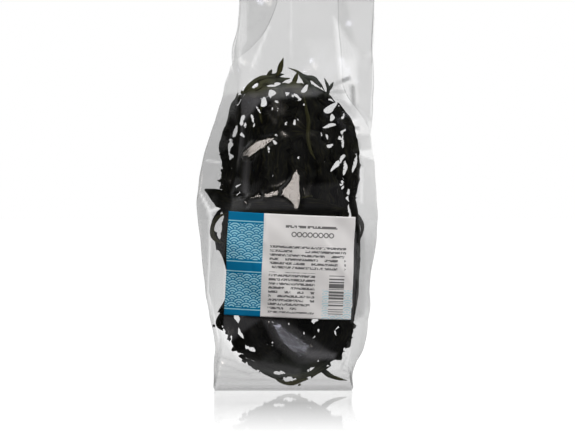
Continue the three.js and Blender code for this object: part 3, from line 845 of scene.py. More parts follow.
def make_bag():
    """The whole bag of film, from its bottom panel to its cut mouth."""
    values = {}

    def place(across, up):
        s, z = (np.interp(part, *np.array(places, float).T) for part, places in
                ((across, COLUMN_PLACES), (up, ROW_PLACES)))
        for name, number in FILM_NUMBERS.items():
            values[name] = number(s, z).tolist()
        return film_place(s, z)

    shape = grid_mesh(FILM_ROUND, FILM_UP, place)
    for name, numbers in values.items():
        write_number(shape, name, numbers)
    bmesh.ops.remove_doubles(shape, verts=shape.verts, dist=SEAM_GAP)
    bottom = [e for e in shape.edges if e.is_boundary and max(v.co.z for v in e.verts) < BOTTOM_TOP]
    bmesh.ops.triangle_fill(shape, use_beauty=True, use_dissolve=False, edges=bottom)
    bmesh.ops.recalc_face_normals(shape, faces=shape.faces)
    bag = keep(shape, "film_bag", film)
    thicken(bag, FILM_THICK, -1)
    return bag


bag = make_bag()
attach(bag, "root")
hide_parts("bag_film")
print("film bag:", len(bag.data.polygons), "faces")

# %% [markdown]
# ## The fronds
#
# A dried wakame frond is a long strip with a midrib. Drying curls its sides in and ruffles its edges,
# and the blade tears into lobes. Each frond follows the course of its solid: a stretch of a rounded
# loop in one layer of the hank, bent by the same few sines. The small blades that grow out of it go
# through a few points, and the lobe on the left, the tail and the tip on top are thinner here than in
# the solids. A grid is laid along the course, and its two coordinates, along and across, carry the
# curl, the ruffle and the torn edge.

# %% The layers of the hank
BUNCH_HEIGHT = 103.0
LOOP_PITCH = 10.6
LEAST_TURN = 10.0
LOOP_ROUND = 0.78
LENS, LENS_WIDTH, LENS_HEIGHT = 0.22, 45.0, 100.0
CORE_WAVE, CORE_WAVE_LENGTH = 3.0, 62.0
SWAY_X = [(3.2, 24, 1), (1.4, 8.6, 2.3)]
SWAY_Y = (1.1, 14, 21)
SWAY_Z = (3, 13, 1.7)
# From front to back: a layer's depth and middle, half its width and height, its lean, the ends of the
# frond up its middle, and its other fronds as (ring of its loop, start, end)
LAYERS = [
    dict(y=-14, x=7, a=17, b=61, tilt=0.07, core=(-57, 49), runs=[(0, 0.1, 0.87)]),
    dict(y=-6.4, x=4, a=28.5, b=79, tilt=-0.03, core=(-62, 56), runs=[(0, 0.57, 1.44), (1, 0.12, 0.95)]),
    dict(y=1.4, x=-0.5, a=37, b=88, tilt=0.01, core=(-55, 55),
         runs=[(0, 0.02, 0.5), (0, 0.53, 0.96), (1, 0.66, 1.55), (2, 0.18, 1.06)]),
    dict(y=9.4, x=3, a=26, b=80, tilt=0.04, core=(-57, 60), runs=[(0, 0.28, 1.2), (1, 0.72, 1.58)]),
    dict(y=16.8, x=7, a=14.5, b=60, tilt=-0.06, core=(-62, 48), runs=[(0, 0.08, 0.92)]),
]
LAYER_LETTERS = "abcde"
print("layers of the hank:", len(LAYERS))

# %% The courses of the fronds
COURSE_STEPS = 200


def rounded_loop(a, b, r, turns):
    """Places on a loop with straight sides and round corners, from its lowest middle."""
    quarter = math.pi * r / 2
    wide, high = 2 * (a - r), 2 * (b - r)
    runs = np.array([a - r, quarter, high, quarter, wide, quarter, high, quarter, a - r])
    starts = np.array([(0, -b), (a - r, -b), (a, r - b), (a, b - r), (a - r, b), (r - a, b), (-a, b - r),
                       (-a, r - b), (r - a, -b)])
    ends = np.cumsum(runs)
    run = (turns % 1.0) * ends[-1]
    i = np.clip(np.searchsorted(ends, run, side="left"), 0, 8)
    left = run - (ends[i] - runs[i])
    heading = (i // 2) * math.pi / 2
    x, z = starts[i].T
    turn = left / r
    straight = (x + np.cos(heading) * left, z + np.sin(heading) * left)
    middle = (x - r * np.sin(heading), z + r * np.cos(heading))
    bend = (middle[0] + r * np.sin(heading + turn), middle[1] - r * np.cos(heading + turn))
    bends = i % 2 == 1
    return np.where(bends, bend[0], straight[0]), np.where(bends, bend[1], straight[1]), ends[-1]


def in_layer(layer, x, z):
    """A place in a layer, from its place in the flat, regular layer."""
    lens = 1 - LENS * ((x / LENS_WIDTH) ** 2 + (z / LENS_HEIGHT) ** 2)
    turned_x = layer["x"] + x * math.cos(layer["tilt"]) + z * math.sin(layer["tilt"])
    turned_z = BUNCH_HEIGHT + z * math.cos(layer["tilt"]) - x * math.sin(layer["tilt"])
    y, phase = layer["y"] * lens, layer["y"]
    far, long, long_up = SWAY_Y
    up, wide, turns = SWAY_Z
    new_x = turned_x + sum(most * np.sin(turned_z / span + k * phase) for most, span, k in SWAY_X)
    new_y = y + far * np.sin(turned_x / long + turned_z / long_up)
    new_z = turned_z + up * np.sin(turned_x / wide + turns * phase)
    return np.stack([new_x, new_y, new_z], axis=-1)


def loop_course(layer, run):
    """The course of a frond that is a stretch of one of a layer's loops, and its length."""
    ring, start, end = run
    a, b = layer["a"] - ring * LOOP_PITCH, layer["b"] - ring * LOOP_PITCH
    r = min(a, max(LEAST_TURN, layer["a"] * LOOP_ROUND - ring * LOOP_PITCH))
    length = rounded_loop(a, b, r, np.zeros(1))[2] * (end - start)

    def at(t):
        x, z, _ = rounded_loop(a, b, r, start + (end - start) * t)
        return in_layer(layer, x, z)

    return at, length


def core_course(layer):
    """The course of the frond up the middle of a layer, and its length."""
    low, high = layer["core"]

    def at(t):
        z = low + (high - low) * t
        return in_layer(layer, CORE_WAVE * np.sin(TURN * z / CORE_WAVE_LENGTH), z)

    return at, high - low


def point_course(points):
    """The course of a frond through a few given points, and its length."""
    p = np.array(points, float)
    p = np.vstack([2 * p[0] - p[1], p, 2 * p[-1] - p[-2]])

    def at(t):
        run = np.clip(t, 0, 1) * (len(p) - 3)
        i = np.clip(np.floor(run).astype(int), 0, len(p) - 4)
        w = (run - i)[..., None]
        a, b, c, d = p[i], p[i + 1], p[i + 2], p[i + 3]
        start, end = (c - a) / 2, (d - b) / 2
        return ((2 * b - 2 * c + start + end) * w**3 + (-3 * b + 3 * c - 2 * start - end) * w**2
                + start * w + b)

    steps = at(np.linspace(0, 1, COURSE_STEPS))
    return at, float(np.linalg.norm(np.diff(steps, axis=0), axis=1).sum())


print("the outermost frond is", round(float(loop_course(LAYERS[2], LAYERS[2]["runs"][0])[1])), "mm long")

# %% The blades that grow from them
TOP_BLADE = [(-25, 2, 184.5), (-20, 1.6, 195), (-11, 1, 201), (-2, 0.6, 203)]
TOP_TIP = [(-10, 1, 200), (-4.5, 0.4, 206), (-2.6, 0, 213.5)]
TOP_RIGHT = [(16, 0.4, 190.5), (12, 0.6, 199), (6.5, 0.4, 205)]
STALK = [(23, 0.3, 185), (26.5, 0.3, 192.5), (24, 0, 200.5)]
STALK_BRANCH = [(26.4, 0.3, 191.5), (29.8, 0, 198)]
LEFT_LOBE = [(-36.7, 1.3, 118), (-43.5, 0.4, 114.5), (-47.6, 0, 107), (-47.4, 0.3, 99), (-44, 0.8, 94.5),
             (-37.5, 1.5, 93)]
TAIL = [(10, -4.7, 20), (15, -4.9, 17), (20, -5, 14), (23.2, -5, 11.2), (26.4, -5.1, 8.7), (29.6, -5.2, 7),
        (34, -5.3, 5.7), (38.6, -5.4, 4.8)]
BROAD_BLADE = [(-53.5, -0.6, 128.5), (-47, -2.6, 125), (-41, -4.4, 121.5), (-34.5, -8.2, 119.5),
               (-28, -12.2, 118.5), (-17.5, -16.8, 119), (-6, -19.8, 118.2), (8, -21, 118),
               (24, -20.6, 117.3), (39, -18.6, 115.5)]
# The blades that grow from a frond: their course, their seed and their width in mm
GROWN_FROM = {
    "frond_b1": [(TAIL, 67, 3.7)],
    "frond_c1": [(TOP_RIGHT, 65, 6.0), (STALK, 61, 2.6), (STALK_BRANCH, 62, 2.2)],
    "frond_c2": [(TOP_BLADE, 63, 8.0), (TOP_TIP, 64, 2.6), (LEFT_LOBE, 66, 4.0)],
}
print("branches:", {node: len(blades) for node, blades in GROWN_FROM.items()})

# %% The blade of a frond
BLADE_WIDTH = 9.6
WIDEN, WIDTH_LEAST, WIDTH_MORE = 1.75, 0.9, 0.2
TIP_LENGTH, TIP_SHARE, TIP_MOST = 22.0, 0.08, 0.45
TWIST, TWIST_LENGTH = 0.26, 95.0
# How deep the torn lobes are as a share of the width, and after how many mm the edge turns
LOBE_DEPTH, LOBE_STEP, FINE_LOBE_STEP = 0.2, 6.3, 2.7
# How much the sides bow up or down, in radians, and after how many mm that changes
BOW, BOW_STEP, FINE_BOW, FINE_BOW_STEP, LEAST_BOW = 0.75, 34.0, 0.4, 13.0, 0.05
# The ruffle of the edges, the dents and the midrib: how far they stand out, and their lengths, in mm
RIM_POWER = 2.2
RUFFLE, RUFFLE_LENGTH, RUFFLE_STEP, FINE_RUFFLE, FINE_RUFFLE_STEP = 1.4, 9.3, 21.0, 0.7, 2.9
DENT, DENT_STEP, RIB, RIB_WIDTH = 0.45, 4.1, 0.4, 1.2
DENT_ACROSS, DENT_ALONG = 2.5, 5
# A narrower blade is less torn and ruffled than one of this width, and no blade is torn at its midrib
FULL_WIDTH, MIDRIB_HALF = 10, 0.03
EDGE_SEEDS = (17.0, 53.0)
CELL, LEAST_CELLS = 1.1, (6, 4)
COURSE_STEP = 0.004
STREAK_SPAN = 16.0
FRONT = np.array([0.0, -1.0, 0.0])


def draw(seed):
    """A seeded draw between 0 and 1, as in the solids."""
    v = np.sin(np.asarray(seed) * 127.1 + 311.7) * 43758.5453
    return v - np.floor(v)


def wander(run, step, seed):
    """A smooth line that wanders between -1 and 1, with a new draw at every step."""
    i = np.floor(run / step)
    t = run / step - i
    t = t * t * (3 - 2 * t)
    return 2 * (draw(seed + 3.1 * i) * (1 - t) + draw(seed + 3.1 * (i + 1)) * t) - 1


def blade_shape(course, seed, width, curl=1.0, torn=1.0, turned=0.0):
    """A blade as a bent grid: curled across, ruffled at its edges and torn into lobes."""
    at, length = course
    tip = min(TIP_LENGTH, length * TIP_MOST)
    phase = TURN * draw(seed * 7.3 + 1)
    lobe = min(1.0, width / FULL_WIDTH)

    def place(t, v):
        # A factor on a seed only makes one draw differ from the next
        run = t * length
        side = 2 * v - 1
        near_end = np.minimum(run, length - run)
        taper = TIP_SHARE + (1 - TIP_SHARE) * np.sin(np.clip(near_end / tip, 0, 1) * math.pi / 2)
        here = at(t)
        heading = unit(at(np.minimum(1, t + COURSE_STEP)) - at(np.maximum(0, t - COURSE_STEP)))
        across = unit(np.cross(heading, FRONT))
        angle = turned + TWIST * np.sin(TURN * run / TWIST_LENGTH + phase)[:, None]
        out = np.cross(across, heading)
        across, out = (across * np.cos(angle) - out * np.sin(angle),
                       out * np.cos(angle) + across * np.sin(angle))
        edge = np.where(side < 0, *EDGE_SEEDS) + seed
        torn_in = 2 + wander(run, LOBE_STEP, edge) + wander(run, FINE_LOBE_STEP, edge * 1.7)
        lobes = 1 - LOBE_DEPTH * lobe * torn * torn_in
        half = width / 2 * taper * np.where(np.abs(side) > MIDRIB_HALF, lobes, 1)
        bow = curl * (BOW * wander(run, BOW_STEP, seed * 2.3)
                      + FINE_BOW * wander(run, FINE_BOW_STEP, seed * 5.1))
        bow = np.where(np.abs(bow) < LEAST_BOW, LEAST_BOW, bow)
        flat = np.sin(bow * side) / bow
        lift = (1 - np.cos(bow * side)) / bow
        rim = np.abs(side) ** RIM_POWER
        wave = np.sin(TURN * run / RUFFLE_LENGTH + edge) * wander(run, RUFFLE_STEP, edge * 2.1)
        ruffle = lobe * taper * rim * (RUFFLE * wave
                                       + FINE_RUFFLE * wander(run, FINE_RUFFLE_STEP, edge * 3.3))
        dent_wave = np.cos(side * DENT_ACROSS + run / DENT_ALONG)
        dents = DENT * lobe * taper * wander(run, DENT_STEP, seed * 9.7) * dent_wave
        rib = RIB * taper * np.exp(-(side * width / RIB_WIDTH) ** 2)
        return (here + across * (half * flat)[:, None]
                + out * (half * lift + ruffle + dents + rib)[:, None])

    cells = [max(least, round(size / CELL)) for least, size in zip(LEAST_CELLS, (length, width))]
    return grid_mesh(*cells, place, "blade", length / STREAK_SPAN)


print("a frond is about", round(WIDEN * BLADE_WIDTH, 1), "mm wide")

# %% [markdown]
# ## The holes
#
# A dried hank is full of small tears. The ones that go through every layer show white, so they are the
# first thing that the eye finds. Blades strewn at random would leave such gaps in other places, so the
# gaps are listed instead: whatever blade the camera sees inside one loses those faces, and the edge that
# is left is pushed out to the hole's own ragged outline.

# %% The holes
# In the photograph's pixels: a hole's middle, its width and height, and its lean in degrees
HOLES = [
    (272, 93, 8.5, 5.5, -20), (263.8, 102.7, 6, 9, -30), (277.4, 84.2, 7, 3, 20),
    (255.6, 85.8, 6, 3.5, 30), (304.7, 89.4, 9, 4.5, 40), (276.8, 102, 4, 2, 0), (272.6, 109, 2, 3, 0),
    (277.6, 109, 2.2, 4, 0), (258.6, 110, 2, 7.5, 30), (252.6, 118, 2.6, 7.5, 12),
    (286, 123.6, 2.6, 3.5, 0), (294.4, 122.5, 2.4, 6.5, -15), (297.5, 119, 1.6, 4, 30),
    (303.8, 105.5, 1.8, 4, 0), (293, 95.8, 2.4, 2.6, 0), (330, 108.5, 14, 7, 25),
    (331, 100.3, 5, 2.6, -30), (332, 118, 4, 8, -30), (343, 116.4, 2.6, 6.5, -10),
    (330, 125.5, 13, 3.6, 10), (342.6, 131, 6, 2.4, 30), (321.4, 134.5, 2, 3.6, 0),
    (327, 136.6, 2.6, 5, 0), (342.3, 142.4, 2.4, 12, 5), (329.5, 145.8, 7, 3.6, 0),
    (336, 165, 5, 14, -36), (341.5, 158.5, 4, 9, -25), (344.7, 168.5, 3.6, 16, -12),
    (341.7, 182.4, 3, 7.5, -15), (348.3, 192.4, 2.2, 6, 5), (355, 163, 3.6, 17, -8),
    (235.3, 132, 3.4, 11, -12), (231, 140.6, 2, 4.4, 0), (245.6, 125.5, 2, 4.4, 0),
    (254, 125.5, 2, 2.8, 0), (268.7, 149.7, 1.8, 9, 5), (275, 142.4, 4.4, 4, -40),
    (276, 135, 2.8, 2.2, 0), (298.3, 157.6, 2, 2.2, 0), (324.4, 161, 1.8, 1.8, 0),
    (272.6, 175.5, 1.4, 1.8, 0), (218.6, 226.5, 6, 17, -10), (216.75, 285.5, 19.1, 62.7, 0),
    (288.7, 324, 1.4, 3, 0), (318.6, 331, 1.8, 4, 0), (303, 333, 3, 1.8, 20), (272.6, 343.8, 2, 4, 0),
    (268, 344, 1.6, 3, 0), (277, 346, 1.6, 2, 0), (318, 361, 2, 1.6, 0), (279, 373, 13, 3.2, -5),
    (289, 379.6, 12, 4.6, 8), (354.5, 109, 9, 30, 30), (310.5, 369.6, 8, 3, 15),
    (310.5, 378.6, 5.5, 3, 0), (345, 349, 3, 4, 0), (258, 371, 4, 2.5, -30),
]
# How uneven their outlines are, and from which share of a hole's radius to which an edge is pushed out
HOLE_UNEVEN, HOLE_RAGGED = 0.2, 0.14
HOLE_MIDDLE, HOLE_RIM = 0.5, 1.3
MIDDLE_UP = photo_place(0, PHOTO_HEIGHT / 2)[1]


def seen_places(places):
    """Where the camera sees places in millimetres: across and up in the bag's front plane."""
    depth = places[:, 1] - FRONT_PLANE
    nearer = CAMERA_DISTANCE / (CAMERA_DISTANCE + depth * MM)
    up = places[:, 2] - MIDDLE_UP + depth * math.tan(CAMERA_RISE)
    return np.stack([places[:, 0] * nearer, MIDDLE_UP + up * nearer], 1)


def hole_ratio(seen, hole):
    """How far places are from the middle of a hole, with 1 at its edge."""
    column, row, wide, high, lean = hole
    (x, z), angle = photo_place(column, row), math.radians(lean)
    off = seen - np.array([x, z])
    turned = off @ np.array([[math.cos(angle), -math.sin(angle)], [math.sin(angle), math.cos(angle)]])
    across, up = turned[:, 0] / wide, turned[:, 1] / high
    way = np.arctan2(up, across)
    ragged = 1 + HOLE_UNEVEN * np.sin(2 * way + column) + HOLE_RAGGED * np.sin(3 * way + 2 * row)
    return np.hypot(across, up) * ragged * 2 / MM_PER_PIXEL


def tear_holes(shape):
    """Takes out the faces of a blade that lie in a hole, and rounds off what is left at its edge."""
    seen = seen_places(np.array([f.calc_center_median()[:] for f in shape.faces]) / MM)
    torn = np.any([hole_ratio(seen, hole) < 1 for hole in HOLES], axis=0)
    gone = [face for face, out in zip(shape.faces, torn) if out]
    bmesh.ops.delete(shape, geom=gone, context="FACES")
    rim = [v for v in shape.verts if v.is_boundary]
    if not gone or not rim:
        return
    places = np.array([v.co[:] for v in rim]) / MM
    for hole in HOLES:
        ratio = hole_ratio(seen_places(places), hole)
        x, z = photo_place(*hole[:2])
        for i in np.flatnonzero(ratio < HOLE_RIM):
            grow = 1 / max(ratio[i], HOLE_MIDDLE)
            places[i, 0] = x + (places[i, 0] - x) * grow
            places[i, 2] = z + (places[i, 2] - z) * grow
    for vert, place in zip(rim, places * MM):
        vert.co = place


print(len(HOLES), "holes")

# %% [markdown]
# ## The finish of the fronds
#
# Dried wakame looks black, but it is a very dark olive green that only shows where the blade is thin,
# at its torn edges. It has a dull leathery gloss with fine wrinkles along the blade. The wrinkles
# follow the blade, so the material reads the blade's own coordinates, along and across. A few young
# blades have dried olive, and a number at each point of a blade says how olive it is.

# %% The fronds' material
WAKAME_DARK = (0.0035, 0.0038, 0.003, 1)
WAKAME_BROWN = (0.08, 0.075, 0.03, 1)
OLIVE_DARK, OLIVE_LIGHT = (0.05, 0.05, 0.015, 1), (0.26, 0.23, 0.06, 1)
GLOW_GREEN = (0.12, 0.135, 0.115, 1)
GLOW_OLIVE = (0.16, 0.155, 0.06, 1)
# How much light a blade lets through in its middle, and how much more at its rim and in patches
MIDDLE_SHARE, RIM_SHARE, PATCH_SHARE = 0.16, 0.35, 0.22
RIM_PLACE = (0.3, 0.5)
# Where the hank thins out at its top and its bottom, in metres, and how much of the glow is painted into
# the base colour there, painted light shining through the blades
PAINTED_GLOW_TOP, PAINTED_GLOW_BOTTOM, PAINTED_GLOW_SHARE = (0.186, 0.195), (0.022, 0.01), 0.65
# The noises: scale and detail, and the values between which an effect goes from none to all
PATCH_NOISE, HUE_NOISE, FIBRE_NOISE, FINE_NOISE = (55, 4), (24, 2), (1.6, 5), (420, 5)
PATCH_RANGE, HUE_RANGE, FIBRE_RANGE = (0.52, 0.72), (0.5, 0.64), (0.5, 0.72)
FIBRES_ACROSS = 9.0
BETWEEN_PATCHES = 0.4
FROND_SPECULAR, FROND_ROUGH, FIBRE_ROUGH = 0.2, 0.5, 0.36
WRINKLE_STRENGTH, WRINKLE_HEIGHT, FIBRE_HEIGHT = 0.5, 0.0006, 1.5


def mix_colours(tree, share, first, second):
    """Two colours mixed by a share, each a colour or a node's output. Returns the mix's output."""
    mix = tree.nodes.new("ShaderNodeMix")
    mix.data_type = "RGBA"
    tree.links.new(share, mix.inputs["Factor"])
    for name, colour in (("A", first), ("B", second)):
        if isinstance(colour, tuple):
            mix.inputs[name].default_value = colour
        else:
            tree.links.new(colour, mix.inputs[name])
    return mix.outputs["Result"]


def frond_material():
    """Near-black leather, olive on some blades, that lets some light through where it is thin, with that
    glow also painted into its colour at the top and the bottom of the hank.
    """
    material, tree, output = new_material("dried_wakame")
    skin = tree.nodes.new("ShaderNodeBsdfPrincipled")
    skin.inputs["Specular IOR Level"].default_value = FROND_SPECULAR
    glow = tree.nodes.new("ShaderNodeBsdfTranslucent")
    place = tree.nodes.new("ShaderNodeTexCoord")
    patches, hue, fine = (noise_at(tree, place.outputs["Object"], *noise)
                          for noise in (PATCH_NOISE, HUE_NOISE, FINE_NOISE))
    grain = tree.nodes.new("ShaderNodeVectorMath")
    grain.operation = "MULTIPLY"
    grain.inputs[1].default_value = (1.0, FIBRES_ACROSS, 1.0)
    tree.links.new(place.outputs["UV"], grain.inputs[0])
    fibres = noise_at(tree, grain.outputs[0], *FIBRE_NOISE)
    _, across, _ = coordinates(tree, "UV")
    _, _, up = coordinates(tree, "Object")
    off = math_node(tree, "ABSOLUTE", math_node(tree, "SUBTRACT", across, 0.5))
    rim = map_range(tree, off, *RIM_PLACE, MIDDLE_SHARE, MIDDLE_SHARE + RIM_SHARE)
    # Painted glow: towards the top and the bottom of the hank the base colour is lightened towards the glow
    # colour, painted light shining through the blades
    thin = math_node(tree, "MAXIMUM", *(map_range(tree, up, *ends, 0.0, PAINTED_GLOW_SHARE)
                                        for ends in (PAINTED_GLOW_TOP, PAINTED_GLOW_BOTTOM)))
    patchy = map_range(tree, patches, *PATCH_RANGE)
    streaky = map_range(tree, fibres, *FIBRE_RANGE)
    patch_shade = math_node(tree, "MULTIPLY_ADD", patchy, 1 - BETWEEN_PATCHES, BETWEEN_PATCHES)
    shade = math_node(tree, "MULTIPLY", patch_shade, streaky)
    tint = mix_colours(tree, map_range(tree, hue, *HUE_RANGE), GLOW_GREEN, GLOW_OLIVE)
    # The base colour, with the painted glow at the top and the bottom of the hank
    black = mix_colours(tree, thin, mix_colours(tree, shade, WAKAME_DARK, WAKAME_BROWN), tint)
    olive = mix_colours(tree, shade, OLIVE_DARK, OLIVE_LIGHT)
    relief = math_node(tree, "MULTIPLY_ADD", fibres, FIBRE_HEIGHT, fine)
    through = math_node(tree, "MULTIPLY_ADD", patchy, PATCH_SHARE, rim)
    link_nodes(
        tree,
        (mix_colours(tree, read_number(tree, "olive"), black, olive), skin.inputs["Base Color"]),
        (map_range(tree, streaky, 0, 1, FROND_ROUGH, FIBRE_ROUGH), skin.inputs["Roughness"]),
        (bumped(tree, relief, WRINKLE_STRENGTH, WRINKLE_HEIGHT), skin.inputs["Normal"]),
        (tint, glow.inputs["Color"]),
        (mix_shaders(tree, through, skin.outputs[0], glow.outputs[0]), output.inputs["Surface"]),
    )
    return material


wakame = frond_material()
print("nodes of the fronds' finish:", len(wakame.node_tree.nodes))

# %% The hank
BLADE_THICK = 0.28
FROND_CURL, FROND_TORN, BRANCH_CURL = 1.0, 1.2, 0.7
BROAD_SEED, BROAD_WIDTH, BROAD_CURL, BROAD_TORN = 70, 13.0, 0.4, 0.3


def add_shape(into, shape):
    """Moves one bmesh's faces into another."""
    mesh = bpy.data.meshes.new("passing")
    shape.to_mesh(mesh)
    shape.free()
    into.from_mesh(mesh)
    bpy.data.meshes.remove(mesh)


def finish_blades(shape, name, node=None, olive=0.0):
    """Tears the blades, gives them their thickness and material, and puts them in the bag."""
    tear_holes(shape)
    write_number(shape, "olive", [olive] * len(shape.verts))
    piece = keep(shape, name, wakame)
    thicken(piece, BLADE_THICK, 0)
    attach(piece, "root")
    if node:
        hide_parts(node)


def make_hank():
    """Every frond of every layer, with the blades that grow from it."""
    made = 0
    for depth, layer in enumerate(LAYERS):
        courses = [loop_course(layer, run) for run in layer["runs"]] + [core_course(layer)]
        for k, course in enumerate(courses):
            node = f"frond_{LAYER_LETTERS[depth]}{k + 1}"
            seed = 10 * depth + k
            width = WIDEN * BLADE_WIDTH * (WIDTH_LEAST + WIDTH_MORE * draw(seed))
            shape = blade_shape(course, seed, width, FROND_CURL, FROND_TORN)
            for points, branch_seed, branch_width in GROWN_FROM.get(node, []):
                add_shape(shape, blade_shape(point_course(points), branch_seed, branch_width, BRANCH_CURL))
            finish_blades(shape, node.replace("frond", "wakame"), node)
            made += 1
    broad = blade_shape(point_course(BROAD_BLADE), BROAD_SEED, BROAD_WIDTH, BROAD_CURL, BROAD_TORN)
    finish_blades(broad, "wakame_broad", "frond_broad")
    return made + 1


print("fronds:", make_hank())

# %% [markdown]
# ## The loose blades
#
# Between the long fronds lie side blades, scraps and torn sheets that fill the hank, and a few thin
# ones that stand out of it. They are placed one by one where the photograph shows them: each row has a
# width, how much it curls, and its course as pixels with a depth in the bag.

# %% The loose blades
LOOSE_BLADES = {
    "sheet_top": (12, 0.4, [(241, 99, 0), (256, 93, -1), (280, 89, -2), (302, 88, -2), (322, 94, -1),
                            (338, 106, 1)]),
    "sheet_upper_left": (24, 0.5, [(257, 92, 4), (254, 118, 2), (253, 150, 0), (250, 185, -2),
                                   (246, 214, -4)]),
    "sheet_middle_left": (26, 0.5, [(283, 88, -4), (280, 118, -9), (276, 150, -12), (272, 186, -13),
                                    (268, 222, -14)]),
    "sheet_middle": (26, 0.5, [(306, 86, -3), (310, 115, -8), (306, 150, -11), (304, 185, -12),
                               (300, 222, -13)]),
    "sheet_middle_right": (22, 0.5, [(322, 92, 2), (329, 118, 0), (328, 150, -5), (334, 185, -7),
                                     (340, 222, -8)]),
    "sheet_back": (40, 0.4, [(292, 92, 13), (288, 130, 15), (292, 180, 17), (290, 230, 17), (288, 290, 17),
                             (286, 350, 14)]),
    "sheet_low_left": (24, 0.5, [(238, 300, -9), (250, 335, -10), (266, 352, -9), (284, 362, -8)]),
    "sheet_low_middle": (30, 0.5, [(280, 296, -12), (286, 330, -14), (290, 352, -12), (296, 368, -8)]),
    "sheet_low_right": (24, 0.5, [(330, 296, -11), (326, 325, -12), (318, 345, -10), (306, 362, -6)]),
    "strip_left": (9, 0.8, [(238, 93, 3), (233, 110, 2), (230, 126, 1), (224, 140, 0), (223, 152, 0),
                            (227, 166, -1), (225, 180, -1), (226, 196, -2)]),
    "strip_right": (6, 0.7, [(338, 102, 3), (349, 122, 3), (354, 140, 3), (356, 160, 3), (356, 180, 3),
                             (352, 200, 2), (355, 222, 1), (357, 245, 0), (356, 270, -1), (352, 296, -2)]),
    "arch_left": (3.6, 0.5, [(242, 98, 1), (245.5, 90, 1), (252, 83.5, 1), (260, 78.5, 1), (268, 77, 0.5),
                             (276, 78, 0)]),
    "bud_left": (2.6, 0.3, [(266, 77, 1), (270, 73, 1), (272, 69.5, 0.6)]),
    "arch_right": (2.4, 0.4, [(288, 68, 1), (296, 71, 1), (304, 76, 1), (313, 79, 1), (320, 84, 1),
                              (325, 92, 1)]),
    "leaf_top": (8.6, 0.3, [(243, 94, 0), (254, 87.5, 0), (266, 82, 0), (278, 80, 0), (290, 78.5, 0)]),
    "tip_olive": (4.2, 0.3, [(276, 77, -1.5), (279.5, 71, -1.5), (281, 65, -1.5), (283.4, 58, -1.5)]),
    "streak_olive": (3.2, 0.3, [(304, 96, -8), (306, 108, -10), (308.5, 122, -12), (308, 138, -14),
                                (311, 152, -15.5), (316, 160, -16)]),
    "streak_olive_2": (2.0, 0.3, [(263, 104, -5), (260, 112, -7), (262, 124, -10)]),
    "streak_olive_3": (1.6, 0.3, [(299, 199, -21.6), (306, 197, -21.6), (313, 196, -21)]),
    "leaf_right": (5, 0.4, [(303, 77, 1), (309, 78, 1), (315, 80, 1), (321, 88, 1)]),
    "leaf_tip": (3.6, 0.5, [(292, 85, 0), (295, 80, 0), (298, 72, 0)]),
    "lobe_label": (3.4, 0.4, [(228, 213, -8), (219, 216.5, -8), (213, 225, -8), (212.5, 235, -8),
                              (217, 241, -8), (226, 243.5, -9)]),
    "lobe_label_right": (7, 0.5, [(226, 214, -8), (224.5, 228, -8), (226.5, 244, -9), (229, 262, -9)]),
    "strip_label": (5.2, 0.6, [(355, 198, -5), (357, 225, -5), (357, 255, -5), (355.5, 290, -5),
                               (353, 324, -6)]),
    "lobe_edge": (3.2, 0.5, [(354, 210, 2), (360, 219, 2), (362.5, 228, 2), (360, 240, 2)]),
    "lobe_low_left": (5.5, 0.5, [(226, 312, -6), (221, 317, -6), (219, 325, -6), (223, 331, -7)]),
    "scrap_left": (2, 0.2, [(212.6, 325, -5), (215, 327, -5)]),
    "lobe_low_right": (3, 0.5, [(343, 322, -3), (346, 331, -4), (350, 337, -4), (353, 338, -4)]),
    "lobe_low_right_2": (3, 0.5, [(341, 333, -4), (345, 341, -5), (346, 350, -5)]),
    "sheet_lowest": (17, 0.5, [(240, 350, -7), (262, 361, -7), (285, 367, -7), (308, 365, -7),
                               (330, 354, -6)]),
    "rag_low": (7, 0.7, [(241, 357, -6), (254, 365, -7), (270, 373, -8), (288, 377, -8), (306, 375, -8),
                         (322, 367, -7), (333, 357, -6)]),
    "rag_lowest": (3, 0.6, [(272, 376, -9), (281, 382, -10), (292, 384, -10), (301, 381, -10),
                            (312, 378, -9)]),
    "scrap_low": (1.6, 0.3, [(282, 383.5, -11), (290, 384.5, -11), (293, 383.5, -11)]),
    "scrap_low_2": (1.4, 0.3, [(298, 386, -12), (301, 384.5, -12)]),
    "tail_2": (2, 0.5, [(310, 380, -9), (316, 374, -9), (325, 369, -8), (331, 366, -8)]),
}
LOOSE_SEED = 100
# How olive some of them are
OLIVE_BLADES = {"tip_olive": 1.0, "leaf_tip": 0.8, "lobe_label": 0.9, "streak_olive": 0.55,
                "streak_olive_2": 0.5, "streak_olive_3": 0.6, "leaf_top": 0.15, "leaf_right": 0.2,
                "bud_left": 0.3}


def place_seen(column, row, y):
    """The place with this y, in millimetres, that the camera sees at a pixel."""
    x, z = photo_place(column, row)
    depth = y - FRONT_PLANE
    nearer = 1 + depth * MM / CAMERA_DISTANCE
    return x * nearer, y, MIDDLE_UP + (z - MIDDLE_UP) * nearer - depth * math.tan(CAMERA_RISE)


def make_loose_blades():
    """The blades that fill the hank and stand out of it."""
    for i, (name, (width, curl, course)) in enumerate(LOOSE_BLADES.items()):
        points = [place_seen(*step) for step in course]
        shape = blade_shape(point_course(points), LOOSE_SEED + i, width, curl)
        finish_blades(shape, "wakame_" + name, None, OLIVE_BLADES.get(name, 0.0))
    return len(LOOSE_BLADES)


print("loose blades:", make_loose_blades())

# %% [markdown]
# ## The side blades
#
# The layers face the front, so from the side one would look between them. In the real hank, blades
# that have turned edge-on close those gaps. Thickening the layers would show in front, so these blades
# are turned a quarter way round their own course instead, which hides them from the front.

# %% The side blades
SIDE_BLADES, SIDE_SEED, SIDE_FIRST = 7, 9, 200
SIDE_MIDDLE, SIDE_HALF, SIDE_WIDTH = 3.5, 30.0, 15.0
